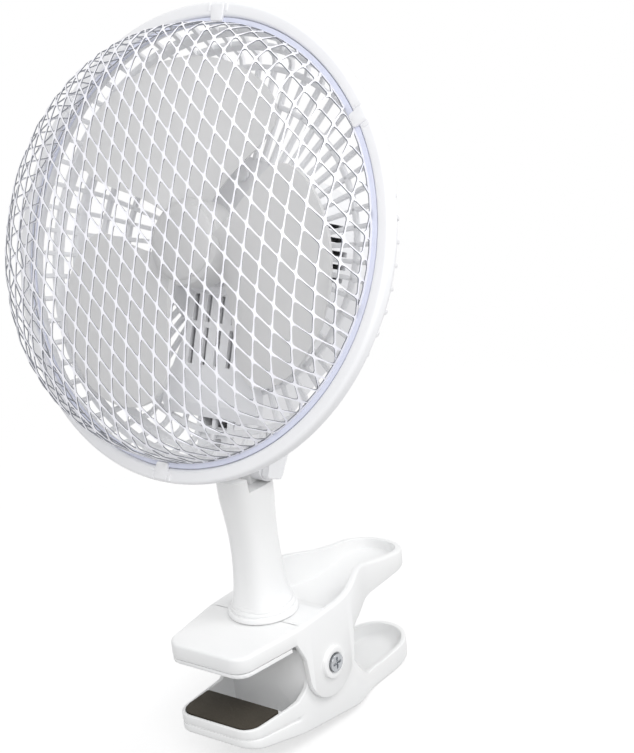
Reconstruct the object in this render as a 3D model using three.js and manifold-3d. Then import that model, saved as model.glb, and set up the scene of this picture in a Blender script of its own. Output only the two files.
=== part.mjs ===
// A clip fan: a spring clamp, a swivelling neck and a tilting caged fan head.
// Millimetres, +Z up. The origin is the middle of the clamp face under the upper jaw, the fan
// looks along -Y, and +X is on the right of someone who faces the same way as the fan's back.
import * as THREE from 'three';
import { mergeVertices } from 'three/addons/utils/BufferGeometryUtils.js';
import Module from 'manifold-3d';

// ---- Driving dimensions: clearances ----
const clearance = 0.3;
const runningGap = 0.4;

// ---- Driving dimensions: clamp ----
const jawFrontY = -16.5;
const jawFrontHalfWidth = 20.9;
const jawRearHalfWidth = 24.8;
const jawFullWidthY = 18;
const jawWall = 2.2;
const jawHeight = 7;
const jawCornerRadius = 7;
const jawEndCorner = 15;
const jawBevel = 1.2;
const liningThickness = 1.6;
const liningRearY = 12;
const padThickness = 1.8;
const upperPadHalfWidth = 15;
const upperPadHalfDepth = 10;
const handleHalfWidth = 16;
const handleEndY = 112;
const jawOpening = 21.5;
const lowerPadHalfWidth = 18.2;
const lowerPadFrontY = -13.6;
const lowerPadRearY = 4;
const lowerShelfRearY = 6.5;
const throatWebY = 21;
const throatWebTop = -2.5;
const pivotY = 35;
const pivotZ = -13;
const cheekRadius = 15.4;
const pivotBoltRadius = 2;
const pivotHeadRadius = 3.9;
const pivotBossRadius = 7;
const pivotBossHeight = 1.6;
const springWire = 2;
const springCoilRadius = 6.2;
const springPitch = 3.1;
const springTurns = 5;
const springStartDegrees = 96;
const springExtraDegrees = 132;
const upperLeg = [22, 3.6];
const lowerLeg = [23.2, -22.7];

// ---- Driving dimensions: neck ----
const neckY = 24;
const footRadius = 14;
const footStep = 12.4;
const footRingHeight = 2.4;
const neckStubRadius = 5;
const neckWall = 2.4;
const ledgeAboveJaw = 58;
const apronAboveJaw = 63.6;
const apronThickness = 5.2;
const tonguePlate = 5.2;
const tiltAboveLedge = 7.6;
const tiltY = 29;
const tiltBossRadius = 7.2;
const tiltBoltRadius = 2;
const tiltHeadRadius = 3.6;
const tiltHeadHeight = 2;
const tiltCoverHeight = 3.4;

// ---- Driving dimensions: head (r from the fan axis, s forward along it) ----
const tiltDegrees = 21.85;
const headY = 9;
const headAboveJaw = 163.7;
const rimRadius = 92.5;
const rimBand = 5.9;
const cageWall = 2.2;
const cageDepth = 29;
const cageRibs = 56;
const cageRibShare = 0.22;
const cagePlateRadius = 36;
const cagePlateHole = 6;
const flangeThickness = 1.2;
const flangeSeat = 2.4;
const domeRadius = 84.6;
const domeHeight = 35.4;
const domeKneeRadius = 76;
const domeKneeDrop = 10.5;
const meshReach = 88;
const meshLongWay = 22;
const meshShortWay = 11;
const meshLeanDegrees = 25.6;
const meshStrand = 1.5;
const meshDepth = 1.6;
const bladeCount = 3;
const bladeTipRadius = 72;
const bladeThickness = 1.6;
const bladeFirstDegrees = 109;
const bladePitchRise = 10.5;
const hubRadius = 17;
const hubDepth = 13;
const hubFront = 4;
const noseRadius = 10.5;
const noseHeight = 4;
const shaftRadius = 2;
const motorRadius = 34;
const motorRear = 78;
const tailHalfWidth = 9;
const shellWall = 2.2;
const ventFrontS = -20;
const ventTopV = -14;
const ventHoodS = -13.5;
const ventBottomV = -67;
const ventTopHalfWidth = 14;
const ventSkirtHalfWidth = 25;
const ventSlotPitch = 6.5;
const ventSlotWidth = 2.2;
const ventSlotsPerRow = 4;
const statorClearance = 2.1;
const statorLength = 16;
const statorFrontS = -41;
const rotorRadius = 12;
const bearingRadius = 5;
const bearingLength = 5;
const screwRadius = 1.5;
const screwHeadRadius = 3;
const switchV = -4;
const switchHalfWidth = 6.2;
const switchHalfHeight = 9.2;
const bushingV = -27;

// ---- Sizes that follow from them ----
const liningTop = padThickness + clearance + liningThickness;
const jawBottomZ = liningTop + clearance;
const jawTopZ = jawBottomZ + jawHeight;
const lowerPadTop = -jawOpening;
const lowerShelfZ = lowerPadTop - padThickness - clearance;
const lowerHalfWidth = jawRearHalfWidth - jawWall - runningGap;
const footZ = jawTopZ + clearance;
const ledgeZ = jawTopZ + ledgeAboveJaw;
const apronZ = jawTopZ + apronAboveJaw;
const tiltZ = ledgeZ + tiltAboveLedge;
const headZ = jawTopZ + headAboveJaw;
const plateRearS = -cageDepth - 0.6;
const plateFrontS = plateRearS + cageWall;
const tilt = THREE.MathUtils.degToRad(tiltDegrees);
const statorSize = Math.SQRT2 * (motorRadius - shellWall - statorClearance);
const tiltOffset = new THREE.Vector2(tiltY - headY, tiltZ - headZ);
const tiltV = tiltOffset.x * Math.sin(tilt) + tiltOffset.y * Math.cos(tilt);
const tiltS = -tiltOffset.x * Math.cos(tilt) + tiltOffset.y * Math.sin(tilt);

// ---- Materials ----
function finish(color, roughness, metalness = 0) {
  return new THREE.MeshStandardMaterial({ color, roughness, metalness });
}
const whitePlastic = finish(0xf1f1ef, 0.38);
const bladePlastic = finish(0xd5d8da, 0.3);
const coatedSteel = finish(0xeeeef6, 0.32, 0.1);
const padFoam = finish(0x3e392e, 0.9);
const brightSteel = finish(0xb9bbbd, 0.25, 0.95);
const ironPlate = finish(0x80848a, 0.45, 0.8);
const copperWire = finish(0xa8632f, 0.4, 0.7);
const blackPlastic = finish(0x26272a, 0.5);

// ---- Solids: closed three.js geometry joined and cut with manifold-3d ----
const wasm = await Module();
wasm.setup();

function toSolid(geometry) {
  const bare = geometry.clone();
  bare.deleteAttribute('normal');
  bare.deleteAttribute('uv');
  const merged = mergeVertices(bare, 1e-4);
  const vertProperties = new Float32Array(merged.attributes.position.array);
  const triVerts = new Uint32Array(merged.index.array);
  return new wasm.Manifold(new wasm.Mesh({ numProp: 3, vertProperties, triVerts }));
}

function toGeometry(solid) {
  const mesh = solid.getMesh();
  const geometry = new THREE.BufferGeometry();
  geometry.setAttribute('position', new THREE.BufferAttribute(mesh.vertProperties, 3));
  geometry.setIndex(new THREE.BufferAttribute(mesh.triVerts, 1));
  geometry.computeVertexNormals();
  return geometry;
}

function union(...solids) {
  return solids.reduce((whole, next) => whole.add(next));
}

function cut(solid, ...tools) {
  return tools.reduce((rest, tool) => rest.subtract(tool), solid);
}

function box(x0, x1, y0, y1, z0, z1) {
  const geometry = new THREE.BoxGeometry(x1 - x0, y1 - y0, z1 - z0);
  geometry.translate((x0 + x1) / 2, (y0 + y1) / 2, (z0 + z1) / 2);
  return toSolid(geometry);
}

// A rod along +Z from z0 to z1.
function rodZ(radius, z0, z1, x = 0, y = 0, sides = 24) {
  const geometry = new THREE.CylinderGeometry(radius, radius, z1 - z0, sides);
  geometry.rotateX(Math.PI / 2);
  geometry.translate(x, y, (z0 + z1) / 2);
  return toSolid(geometry);
}

// A rod along +X from x0 to x1.
function rodX(radius, x0, x1, y = 0, z = 0, sides = 24) {
  const geometry = new THREE.CylinderGeometry(radius, radius, x1 - x0, sides);
  geometry.rotateZ(-Math.PI / 2);
  geometry.translate((x0 + x1) / 2, y, z);
  return toSolid(geometry);
}

function shapeOf(points) {
  return new THREE.Shape(points.map(([a, b]) => new THREE.Vector2(a, b)));
}

// An outline in x and y, raised from z0 to z1.
function raise(points, z0, z1) {
  const geometry = new THREE.ExtrudeGeometry(shapeOf(points), { depth: z1 - z0, bevelEnabled: false });
  geometry.translate(0, 0, z0);
  return toSolid(geometry);
}

// An outline in y and z, extruded along x between x0 and x1.
function acrossX(points, x0, x1) {
  const geometry = new THREE.ExtrudeGeometry(shapeOf(points), { depth: x1 - x0, bevelEnabled: false });
  geometry.applyMatrix4(new THREE.Matrix4().set(0, 0, 1, x0, 1, 0, 0, 0, 0, 1, 0, 0, 0, 0, 0, 1));
  return toSolid(geometry);
}

// A closed skin over a grid of rows and columns, with a front and a back point in each place.
function plateFromGrid(front, back, rows, columns) {
  const positions = [];
  const index = [];
  const at = (row, column, side) => side * (rows + 1) * (columns + 1) + row * (columns + 1) + column;
  for (const side of [front, back]) {
    for (let row = 0; row <= rows; row += 1) {
      for (let column = 0; column <= columns; column += 1) {
        positions.push(...side(row / rows, column / columns));
      }
    }
  }
  const quad = (a, b, c, d) => index.push(a, b, c, a, c, d);
  for (let row = 0; row < rows; row += 1) {
    for (let column = 0; column < columns; column += 1) {
      quad(at(row, column, 0), at(row + 1, column, 0), at(row + 1, column + 1, 0), at(row, column + 1, 0));
      quad(at(row, column, 1), at(row, column + 1, 1), at(row + 1, column + 1, 1), at(row + 1, column, 1));
    }
  }
  for (let row = 0; row < rows; row += 1) {
    quad(at(row, 0, 0), at(row, 0, 1), at(row + 1, 0, 1), at(row + 1, 0, 0));
    quad(at(row, columns, 0), at(row + 1, columns, 0), at(row + 1, columns, 1), at(row, columns, 1));
  }
  for (let column = 0; column < columns; column += 1) {
    quad(at(0, column, 0), at(0, column + 1, 0), at(0, column + 1, 1), at(0, column, 1));
    quad(at(rows, column, 0), at(rows, column, 1), at(rows, column + 1, 1), at(rows, column + 1, 0));
  }
  return closed(positions, index);
}

function closed(positions, index) {
  const geometry = new THREE.BufferGeometry();
  geometry.setAttribute('position', new THREE.Float32BufferAttribute(positions, 3));
  geometry.setIndex(index);
  const solid = toSolid(geometry);
  return solid.volume() < 0 ? toSolid(flipped(positions, index)) : solid;
}

function flipped(positions, index) {
  const geometry = new THREE.BufferGeometry();
  const turned = [];
  for (let i = 0; i < index.length; i += 3) {
    turned.push(index[i], index[i + 2], index[i + 1]);
  }
  geometry.setAttribute('position', new THREE.Float32BufferAttribute(positions, 3));
  geometry.setIndex(turned);
  return geometry;
}

// A profile of [radius, height] points that starts and ends on the axis, spun round Z.
function spin(profile, segments) {
  const geometry = new THREE.LatheGeometry(profile.map(([r, z]) => new THREE.Vector2(r, z)), segments);
  geometry.rotateX(Math.PI / 2);
  return toSolid(geometry);
}

// ---- The object's tree ----
const clipFan = new THREE.Group();
const neckGroup = new THREE.Group();
const headGroup = new THREE.Group();
neckGroup.position.set(0, neckY, 0);
// The head's own frame: x to the right, y up in the plane of the cage (v), z forward (s).
headGroup.rotation.x = Math.PI / 2 - tilt;
headGroup.position.set(0, headY, headZ);
clipFan.add(neckGroup, headGroup);

function addPart(group, name, solid, material) {
  const mesh = new THREE.Mesh(toGeometry(solid), material);
  mesh.name = name;
  group.add(mesh);
}

// ---- Clamp: outlines ----
// The half width of a jaw at a place along Y: it widens to the pivot and narrows to the handle.
function jawOutline(frontHalf, rearHalf, endHalf, endY, inset) {
  const front = jawFrontY + inset;
  const corner = Math.max(jawCornerRadius - inset, 1);
  const half = frontHalf - inset;
  const rear = rearHalf - inset;
  const end = endHalf - inset;
  const right = [];
  for (let i = 0; i <= 4; i += 1) {
    const turn = (i / 4) * Math.PI / 2;
    right.push([half - corner + corner * Math.sin(turn), front + corner - corner * Math.cos(turn)]);
  }
  right.push([rear, jawFullWidthY], [rear, pivotY + cheekRadius + 3]);
  right.push([(rear + end) / 2 + 0.4, pivotY + cheekRadius + 7], [end, pivotY + cheekRadius + 14]);
  const last = endY - inset;
  const endCorner = Math.max(jawEndCorner - inset, 2);
  for (let i = 0; i <= 6; i += 1) {
    const turn = (i / 6) * Math.PI / 2;
    right.push([end - endCorner * (1 - Math.cos(turn)), last - endCorner * (1 - Math.sin(turn))]);
  }
  const left = right.map(([x, y]) => [-x, y]).reverse();
  return right.concat(left);
}

const arc = (cy, cz, radius, from, to, steps) => {
  const points = [];
  for (let i = 0; i <= steps; i += 1) {
    const angle = THREE.MathUtils.degToRad(from + ((to - from) * i) / steps);
    points.push([cy + radius * Math.cos(angle), cz + radius * Math.sin(angle)]);
  }
  return points;
};

// The upper handle's floor and rim, as offsets from the jaw's top along Y.
const dishFloor = [[34, -4.5], [44, -9], [56, -10.4], [72, -10.8], [88, -8.9], [100, -7.3],
  [handleEndY + 1, -5.5]];
const dishRim = [[handleEndY + 1, -1], [104, 1.6], [93, 4.8], [83, 5.6], [74, 3.4], [65, -0.8], [56, -3.4],
  [44, -2.6]];

function upperSide() {
  const rim = dishRim.map(([y, dz]) => [y, jawTopZ + dz]);
  const floor = dishFloor.map(([y, dz]) => [y, jawTopZ + dz]);
  const front = [[34, jawTopZ], [jawFrontY - 1, jawTopZ], [jawFrontY - 1, jawBottomZ], [14.5, jawBottomZ]];
  const cheek = [[18.5, -4.5], ...arc(pivotY, pivotZ, cheekRadius, 180, 350, 14), [50.4, -12]];
  const back = [[50.8, -8], [52.2, -5.2], [55, -3.6], [63, floor[3][1] - jawWall - 0.9]];
  const under = floor.slice(3).map(([y, z]) => [y, z - jawWall]);
  return [...front, ...cheek, ...back, ...under, ...rim].reverse();
}

// The upper jaw's top and the handle's floor, one sheet a wall thick.
function upperSheet() {
  const floor = dishFloor.map(([y, dz]) => [y, jawTopZ + dz]);
  const top = [[jawFrontY - 1, jawTopZ], [31, jawTopZ], ...floor];
  const under = top.map(([y, z]) => [y, z - jawWall]).reverse();
  return [...top, ...under];
}

function bevelledBlock() {
  const outline = jawOutline(jawFrontHalfWidth, jawRearHalfWidth, handleHalfWidth, handleEndY, jawBevel);
  const depth = 60;
  const geometry = new THREE.ExtrudeGeometry(shapeOf(outline),
    { depth, bevelEnabled: true, bevelSize: jawBevel, bevelThickness: jawBevel, bevelSegments: 1 });
  geometry.translate(0, 0, jawTopZ - jawBevel - depth);
  return toSolid(geometry);
}

function upperJaw() {
  const widths = [jawFrontHalfWidth, jawRearHalfWidth, handleHalfWidth, handleEndY];
  const outerPlan = raise(jawOutline(...widths, 0), pivotZ - 30, jawTopZ + 20);
  const innerPlan = raise(jawOutline(...widths, jawWall), pivotZ - 31, jawTopZ + 21);
  const wide = jawRearHalfWidth + 5;
  const walls = cut(outerPlan, innerPlan).intersect(acrossX(upperSide(), -wide, wide));
  const sheet = acrossX(upperSheet(), -wide, wide).intersect(outerPlan);
  const frontRoom = box(-wide, wide, jawFrontY - 2, 31, jawBottomZ - 1, jawTopZ + 1);
  const frontBlock = bevelledBlock().intersect(frontRoom);
  const rest = union(walls, sheet);
  const rounded = union(rest.intersect(frontBlock), rest.intersect(box(-wide, wide, 31, 120, -60, 40)),
    rest.intersect(box(-wide, wide, 0, 31.01, -60, jawTopZ - jawBevel)));
  const bossX = jawRearHalfWidth;
  const bosses = union(rodX(pivotBossRadius, bossX - 1, bossX + pivotBossHeight, pivotY, pivotZ, 18),
    rodX(pivotBossRadius, -bossX - pivotBossHeight, -bossX + 1, pivotY, pivotZ, 18));
  const wells = union(rodX(pivotHeadRadius + clearance, bossX, bossX + 5, pivotY, pivotZ, 16),
    rodX(pivotHeadRadius + clearance, -bossX - 5, -bossX, pivotY, pivotZ, 16));
  const seat = rodZ(neckStubRadius + 3, jawTopZ - 4.2, jawTopZ - 1, 0, neckY);
  const bores = union(rodX(pivotBoltRadius + clearance, -40, 40, pivotY, pivotZ, 16),
    rodZ(neckStubRadius + clearance, jawTopZ - 8, jawTopZ + 3, 0, neckY));
  const posts = liningScrewPlaces().map(([x, y]) => rodZ(3, jawBottomZ, jawTopZ - 1, x, y, 12));
  const pilotRadius = screwRadius + 0.2;
  const pilots = liningScrewPlaces().map(([x, y]) => rodZ(pilotRadius, jawBottomZ - 1, jawTopZ - 2.6, x, y, 10));
  return cut(union(rounded, bosses, seat, ...posts), wells, bores, ...pilots);
}

function liningScrewPlaces() {
  const x = upperPadHalfWidth + screwHeadRadius - 0.2;
  return [[-x, 0], [x, 0]];
}

// The thin lining under the upper jaw, which carries the upper pad.
function jawLining() {
  const plan = raise(jawOutline(jawFrontHalfWidth, jawRearHalfWidth, handleHalfWidth, handleEndY, 0.5),
    padThickness + clearance, liningTop);
  const kept = plan.intersect(box(-40, 40, -40, liningRearY, -1, liningTop + 1));
  const holeRadius = screwRadius + clearance;
  const holes = liningScrewPlaces().map(([x, y]) => rodZ(holeRadius, -1, liningTop + 1, x, y, 12));
  return cut(kept, ...holes);
}

function liningScrew([x, y]) {
  const head = rodZ(screwHeadRadius - 0.6, padThickness - 1, padThickness, x, y, 16);
  const shank = rodZ(screwRadius, padThickness - 0.5, jawTopZ - 3.6, x, y, 10);
  return union(head, shank);
}

function padOutline(halfWidth, front, rear, radius) {
  const points = [];
  const corners = [[halfWidth, rear, 1, 1, 1], [-halfWidth, rear, -1, 1, 1],
    [-halfWidth, front, -1, -1, radius], [halfWidth, front, 1, -1, radius]];
  corners.forEach(([x, y, sx, sy, r], corner) => {
    for (let i = 0; i <= 3; i += 1) {
      const turn = (corner + i / 3) * Math.PI / 2;
      points.push([x - sx * r + r * Math.cos(turn), y - sy * r + r * Math.sin(turn)]);
    }
  });
  return points;
}

// ---- Clamp: lower jaw ----
const lowerRim = [[jawFrontY - 1, lowerPadTop - 0.2], [14, lowerPadTop - 0.6], [19, -19], [25, -11]];
const lowerHandle = [[51, -17.5], [54, -23.5], [60, -31.2], [68, -36.6], [80, -38.4], [92, -36.6], [101, -32],
  [107, -29.6]];
const lowerUnder = [[107, -36.5], [101, -42], [91, -46], [76, -47.4], [58, -45], [14.5, -38],
  [-8, -32.6], [jawFrontY - 1, -29.6]];

function lowerSide() {
  const hump = arc(pivotY, pivotZ, 11, 170, 10, 8);
  return [...lowerRim, ...hump, ...lowerHandle, ...lowerUnder].reverse();
}

function lowerJaw() {
  const widths = [jawFrontHalfWidth - 0.3, lowerHalfWidth, handleHalfWidth - 0.5, handleEndY - 6];
  const outerPlan = raise(jawOutline(...widths, 0), -60, 10);
  const innerPlan = raise(jawOutline(...widths, jawWall), -61, 11);
  const wide = jawRearHalfWidth + 5;
  const walls = cut(outerPlan, innerPlan).intersect(acrossX(lowerSide(), -wide, wide));
  const floorTop = lowerUnder.map(([y, z]) => [y, z + jawWall]).reverse();
  const floor = acrossX([...lowerUnder, ...floorTop].reverse(), -wide, wide).intersect(outerPlan);
  const shelf = box(-wide, wide, jawFrontY - 1, lowerShelfRearY, lowerShelfZ - jawWall, lowerShelfZ)
    .intersect(outerPlan);
  const web = box(-wide, wide, throatWebY, throatWebY + jawWall, -38, throatWebTop).intersect(outerPlan);
  const below = cut(box(-wide, wide, -30, 120, -60, 30), acrossX([[-30, -70], [120, -70],
    [120, 25], ...floorTop.slice().reverse(), [-30, -29.6]].reverse(), -wide - 1, wide + 1));
  const ribs = [64, 70, 76].map((y) => box(-13, 13, y, y + 1.6, -46.6, -42.6).intersect(outerPlan));
  const body = union(walls, floor, cut(shelf, below), cut(web, below), ...ribs);
  const keeper = lowerHalfWidth - jawWall;
  const bosses = union(rodX(5, keeper - 2.6, keeper + 0.5, pivotY, pivotZ, 16),
    rodX(5, -keeper - 0.5, -keeper + 2.6, pivotY, pivotZ, 16));
  return cut(union(body, bosses), rodX(pivotBoltRadius + clearance, -40, 40, pivotY, pivotZ, 16));
}

// ---- Clamp: pivot bolt, nut and spring ----
function crossRecess(x, size, depth) {
  const across = 1.1;
  return union(box(x - depth, x + 1, pivotY - size, pivotY + size, pivotZ - across / 2, pivotZ + across / 2),
    box(x - depth, x + 1, pivotY - across / 2, pivotY + across / 2, pivotZ - size, pivotZ + size));
}

function pivotBolt() {
  const face = jawRearHalfWidth + clearance;
  const shank = rodX(pivotBoltRadius, -jawRearHalfWidth - 1.2, face + 1, pivotY, pivotZ, 16);
  const head = rodX(pivotHeadRadius, face, face + 2.2, pivotY, pivotZ, 24);
  return cut(union(shank, head), crossRecess(face + 2.2, 2.6, 1.2));
}

function pivotNut() {
  const face = -jawRearHalfWidth - clearance;
  const nut = rodX(pivotHeadRadius - 0.2, face - 2.4, face, pivotY, pivotZ, 6);
  return cut(nut, rodX(pivotBoltRadius + 0.2, face - 1.3, face + 1, pivotY, pivotZ, 16));
}

// A place on the spring's coil at an angle about the pivot.
function onCoil(degrees, x) {
  const angle = THREE.MathUtils.degToRad(degrees);
  return new THREE.Vector3(x, pivotY + springCoilRadius * Math.cos(angle),
    pivotZ + springCoilRadius * Math.sin(angle));
}

// The spring's middle line: a leg up to the upper handle, the curls, a leg down to the lower one.
function springLine() {
  const points = [];
  const half = (springPitch * springTurns) / 2;
  const turn = springTurns * 360 + springExtraDegrees;
  const steps = Math.round((turn / 360) * 8);
  const upper = onCoil(springStartDegrees, -half);
  for (let i = 3; i >= 1; i -= 1) {
    points.push(upper.clone().add(new THREE.Vector3(0, (upperLeg[0] * i) / 3, (upperLeg[1] * i) / 3)));
  }
  for (let i = 0; i <= steps; i += 1) {
    const share = i / steps;
    points.push(onCoil(springStartDegrees + share * turn, -half + share * 2 * half));
  }
  const lower = points[points.length - 1];
  for (let i = 1; i <= 3; i += 1) {
    points.push(lower.clone().add(new THREE.Vector3(0, (lowerLeg[0] * i) / 3, (lowerLeg[1] * i) / 3)));
  }
  return points;
}

// A round tube swept through the points, five sides round, with flat ends.
function wireThrough(points, radius, sides) {
  const positions = [];
  const index = [];
  const rings = points.length;
  const normal = new THREE.Vector3(1, 0, 0);
  points.forEach((point, i) => {
    const before = points[Math.max(i - 1, 0)];
    const after = points[Math.min(i + 1, rings - 1)];
    const along = after.clone().sub(before).normalize();
    normal.addScaledVector(along, -normal.dot(along)).normalize();
    const side = along.clone().cross(normal);
    for (let j = 0; j < sides; j += 1) {
      const angle = (j / sides) * 2 * Math.PI;
      const spot = point.clone().addScaledVector(normal, radius * Math.cos(angle));
      spot.addScaledVector(side, radius * Math.sin(angle));
      positions.push(spot.x, spot.y, spot.z);
    }
  });
  for (let i = 0; i < rings - 1; i += 1) {
    for (let j = 0; j < sides; j += 1) {
      const next = (j + 1) % sides;
      const a = i * sides + j;
      const b = i * sides + next;
      index.push(a, b, b + sides, a, b + sides, a + sides);
    }
  }
  for (let j = 1; j < sides - 1; j += 1) {
    const last = (rings - 1) * sides;
    index.push(0, j + 1, j, last, last + j, last + j + 1);
  }
  return closed(positions, index);
}

// The least gap between two curls, from points on the middle line half a turn or more apart.
function leastCurlGap(points) {
  let least = Infinity;
  for (let i = 0; i < points.length; i += 1) {
    for (let j = i + 5; j < points.length; j += 1) {
      least = Math.min(least, points[i].distanceTo(points[j]));
    }
  }
  return least - springWire;
}

// ---- Neck ----
// Half widths of the neck above the jaw's top: across, to the front and to the rear.
const neckSections = [
  [4.6, 11.6, 12.2, 12.2],
  [7.5, 10.4, 11.6, 11.4],
  [14, 9.5, 11, 10.6],
  [24, 8.6, 10.2, 9.8],
  [34, 8.4, 10.6, 9.6],
  [46, 8.7, 12, 9.8],
  [ledgeAboveJaw, 9, 13.6, 10],
];

function neckRing(section, inset, sides) {
  const [, half, front, rear] = section;
  const points = [];
  for (let j = 0; j < sides; j += 1) {
    const angle = (j / sides) * 2 * Math.PI;
    const c = Math.cos(angle);
    const s = Math.sin(angle);
    const x = Math.sign(c) * Math.abs(c) ** 0.72 * (half - inset);
    const y = Math.sign(s) * Math.abs(s) ** 0.72 * ((s < 0 ? front : rear) - inset);
    points.push([x, y]);
  }
  return points;
}

function loft(sections, inset, sides) {
  const positions = [];
  const index = [];
  sections.forEach((section) => {
    neckRing(section, inset, sides).forEach(([x, y]) => positions.push(x, y, jawTopZ + section[0]));
  });
  const rings = sections.length;
  for (let i = 0; i < rings - 1; i += 1) {
    for (let j = 0; j < sides; j += 1) {
      const next = (j + 1) % sides;
      const a = i * sides + j;
      const b = i * sides + next;
      index.push(a, b, b + sides, a, b + sides, a + sides);
    }
  }
  for (let j = 1; j < sides - 1; j += 1) {
    const last = (rings - 1) * sides;
    index.push(0, j + 1, j, last, last + j, last + j + 1);
  }
  return closed(positions, index);
}

function neck() {
  const sides = 18;
  const top = neckSections[neckSections.length - 1];
  const lip = [apronAboveJaw, top[1], top[2] + 0.8, top[3]];
  const column = loft([...neckSections, lip], 0, sides);
  const hollow = loft([[6, 8, 8.6, 8.6], ...neckSections.slice(2, 6), [ledgeAboveJaw - 4, 8.9, 12.9, 10]],
    neckWall, sides);
  const foot = union(rodZ(footRadius, footZ, footZ + footRingHeight),
    rodZ(footStep, footZ + 1, footZ + 2 * footRingHeight),
    rodZ(neckStubRadius, jawTopZ - 3.9, footZ + 1, 0, 0));
  const back = -top[2] - 0.8 + apronThickness;
  const aboveLedge = box(-30, 30, back, 30, ledgeZ, ledgeZ + 30);
  const slot = box(-4.2, 4.2, back, tiltY - neckY + 4, ledgeZ - 9, ledgeZ + 30);
  const trimmed = cut(column, aboveLedge, cut(hollow, box(-30, 30, -30, 30, ledgeZ - 4, ledgeZ + 9)));
  const tongue = union(rodX(tiltBossRadius - 0.6, -tonguePlate / 2, tonguePlate / 2, tiltY - neckY, tiltZ, 20),
    box(-tonguePlate / 2, tonguePlate / 2, tiltY - neckY - 5.4, tiltY - neckY + 4.6, ledgeZ - 5, tiltZ));
  const opened = cut(trimmed, cut(slot, tongue));
  const bore = rodX(tiltBoltRadius + clearance, -30, 30, tiltY - neckY, tiltZ, 16);
  const pilot = rodZ(screwRadius + 0.2, jawTopZ - 5, footZ + 7, 0, 0, 10);
  return cut(union(opened, foot, tongue), bore, pilot);
}

function neckScrew() {
  const seat = jawTopZ - 5.8;
  const head = rodZ(screwHeadRadius, seat - 1.6, seat, 0, 0, 16);
  return union(head, rodZ(screwRadius, seat - 0.5, footZ + 5, 0, 0, 10));
}

function neckWasher() {
  return cut(rodZ(neckStubRadius + 3.4, jawTopZ - 5.5, jawTopZ - 4.5, 0, 0),
    rodZ(screwRadius + clearance, jawTopZ - 7, jawTopZ, 0, 0, 12));
}

// ---- Cage: a bowl of rows and columns, each cell either solid or open ----
// Stations run from the rim's front lip to the hole in the back plate, each with an outer and an
// inner [radius, s] point, and the flag says if the band behind it is open between the ribs.
function cageStations() {
  const lip = rimRadius - rimBand;
  const rims = [
    [[rimRadius, 0], [lip, 0], false],
    [[rimRadius - 0.2, -5.4], [lip, -flangeSeat], false],
  ];
  const onWall = (radius, s, open) => [[radius + cageWall, s], [radius, s], open];
  const wall = [onWall(86.2, -8, true), onWall(83.2, -12, false), onWall(82, -16, true),
    onWall(79.2, -20, false), onWall(78, -23.5, true)];
  const onBack = (radius, open) => [[radius, plateRearS], [radius, plateFrontS], open];
  const back = [onBack(73.6, false), onBack(71.2, true), onBack(59.4, false), onBack(57.4, true),
    onBack(cagePlateRadius + 1, false), onBack(cagePlateHole, false)];
  return [...rims, ...wall, ...back];
}

// The angle of a column's edge: even columns start a rib and odd ones start the gap after it.
function ribEdge(column) {
  const rib = Math.floor(column / 2) + (column % 2 ? cageRibShare / 2 : -cageRibShare / 2);
  return (rib / cageRibs) * 2 * Math.PI + Math.PI / 2;
}

function cageBowl() {
  const stations = cageStations();
  const columns = 2 * cageRibs;
  const bands = stations.length - 1;
  const positions = [];
  const index = [];
  stations.forEach(([outer, inner]) => {
    for (const [radius, s] of [outer, inner]) {
      for (let column = 0; column < columns; column += 1) {
        positions.push(radius * Math.cos(ribEdge(column)), radius * Math.sin(ribEdge(column)), s);
      }
    }
  });
  const at = (station, side, column) => (station * 2 + side) * columns + (column % columns);
  const quad = (a, b, c, d) => index.push(a, b, c, a, c, d);
  for (let band = 0; band < bands; band += 1) {
    for (let column = 0; column < columns; column += 1) {
      const next = column + 1;
      const open = stations[band][2] && column % 2 === 1;
      if (open) {
        quad(at(band, 0, column), at(band + 1, 0, column), at(band + 1, 1, column), at(band, 1, column));
        quad(at(band + 1, 0, next), at(band, 0, next), at(band, 1, next), at(band + 1, 1, next));
        quad(at(band, 0, next), at(band, 0, column), at(band, 1, column), at(band, 1, next));
        quad(at(band + 1, 0, column), at(band + 1, 0, next), at(band + 1, 1, next), at(band + 1, 1, column));
      } else {
        quad(at(band, 0, column), at(band + 1, 0, column), at(band + 1, 0, next), at(band, 0, next));
        quad(at(band, 1, column), at(band, 1, next), at(band + 1, 1, next), at(band + 1, 1, column));
      }
    }
  }
  for (let column = 0; column < columns; column += 1) {
    const next = column + 1;
    quad(at(0, 0, column), at(0, 0, next), at(0, 1, next), at(0, 1, column));
    quad(at(bands, 0, column), at(bands, 1, column), at(bands, 1, next), at(bands, 0, next));
  }
  return closed(positions, index);
}

const tabDegrees = [90, 35, 145, 270];

// Small clips on the rim that hold the front guard's flange down.
const tabLength = 7;
const tabWidth = 6.4;
const tabThickness = 1.5;
const tabFrontS = 0.3;

function tabBlock(degrees, spare) {
  const [length, width, thickness] = [tabLength, tabWidth, tabThickness].map((size) => size + 2 * spare);
  const geometry = new THREE.BoxGeometry(length, width, thickness);
  geometry.translate(rimRadius - 1 - tabLength / 2, 0, tabFrontS - tabThickness / 2);
  geometry.rotateZ(THREE.MathUtils.degToRad(degrees));
  return toSolid(geometry);
}

const plateScrewPlaces = [[0, 30], [-26, -14], [26, -14]];

function rearGuard() {
  const tabs = tabDegrees.map((degrees) => tabBlock(degrees, 0));
  const holeRadius = screwRadius + clearance;
  const holes = plateScrewPlaces.map(([x, v]) => rodZ(holeRadius, plateRearS - 2, plateFrontS + 2, x, v, 10));
  return cut(union(cageBowl(), ...tabs), ...holes);
}

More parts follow.
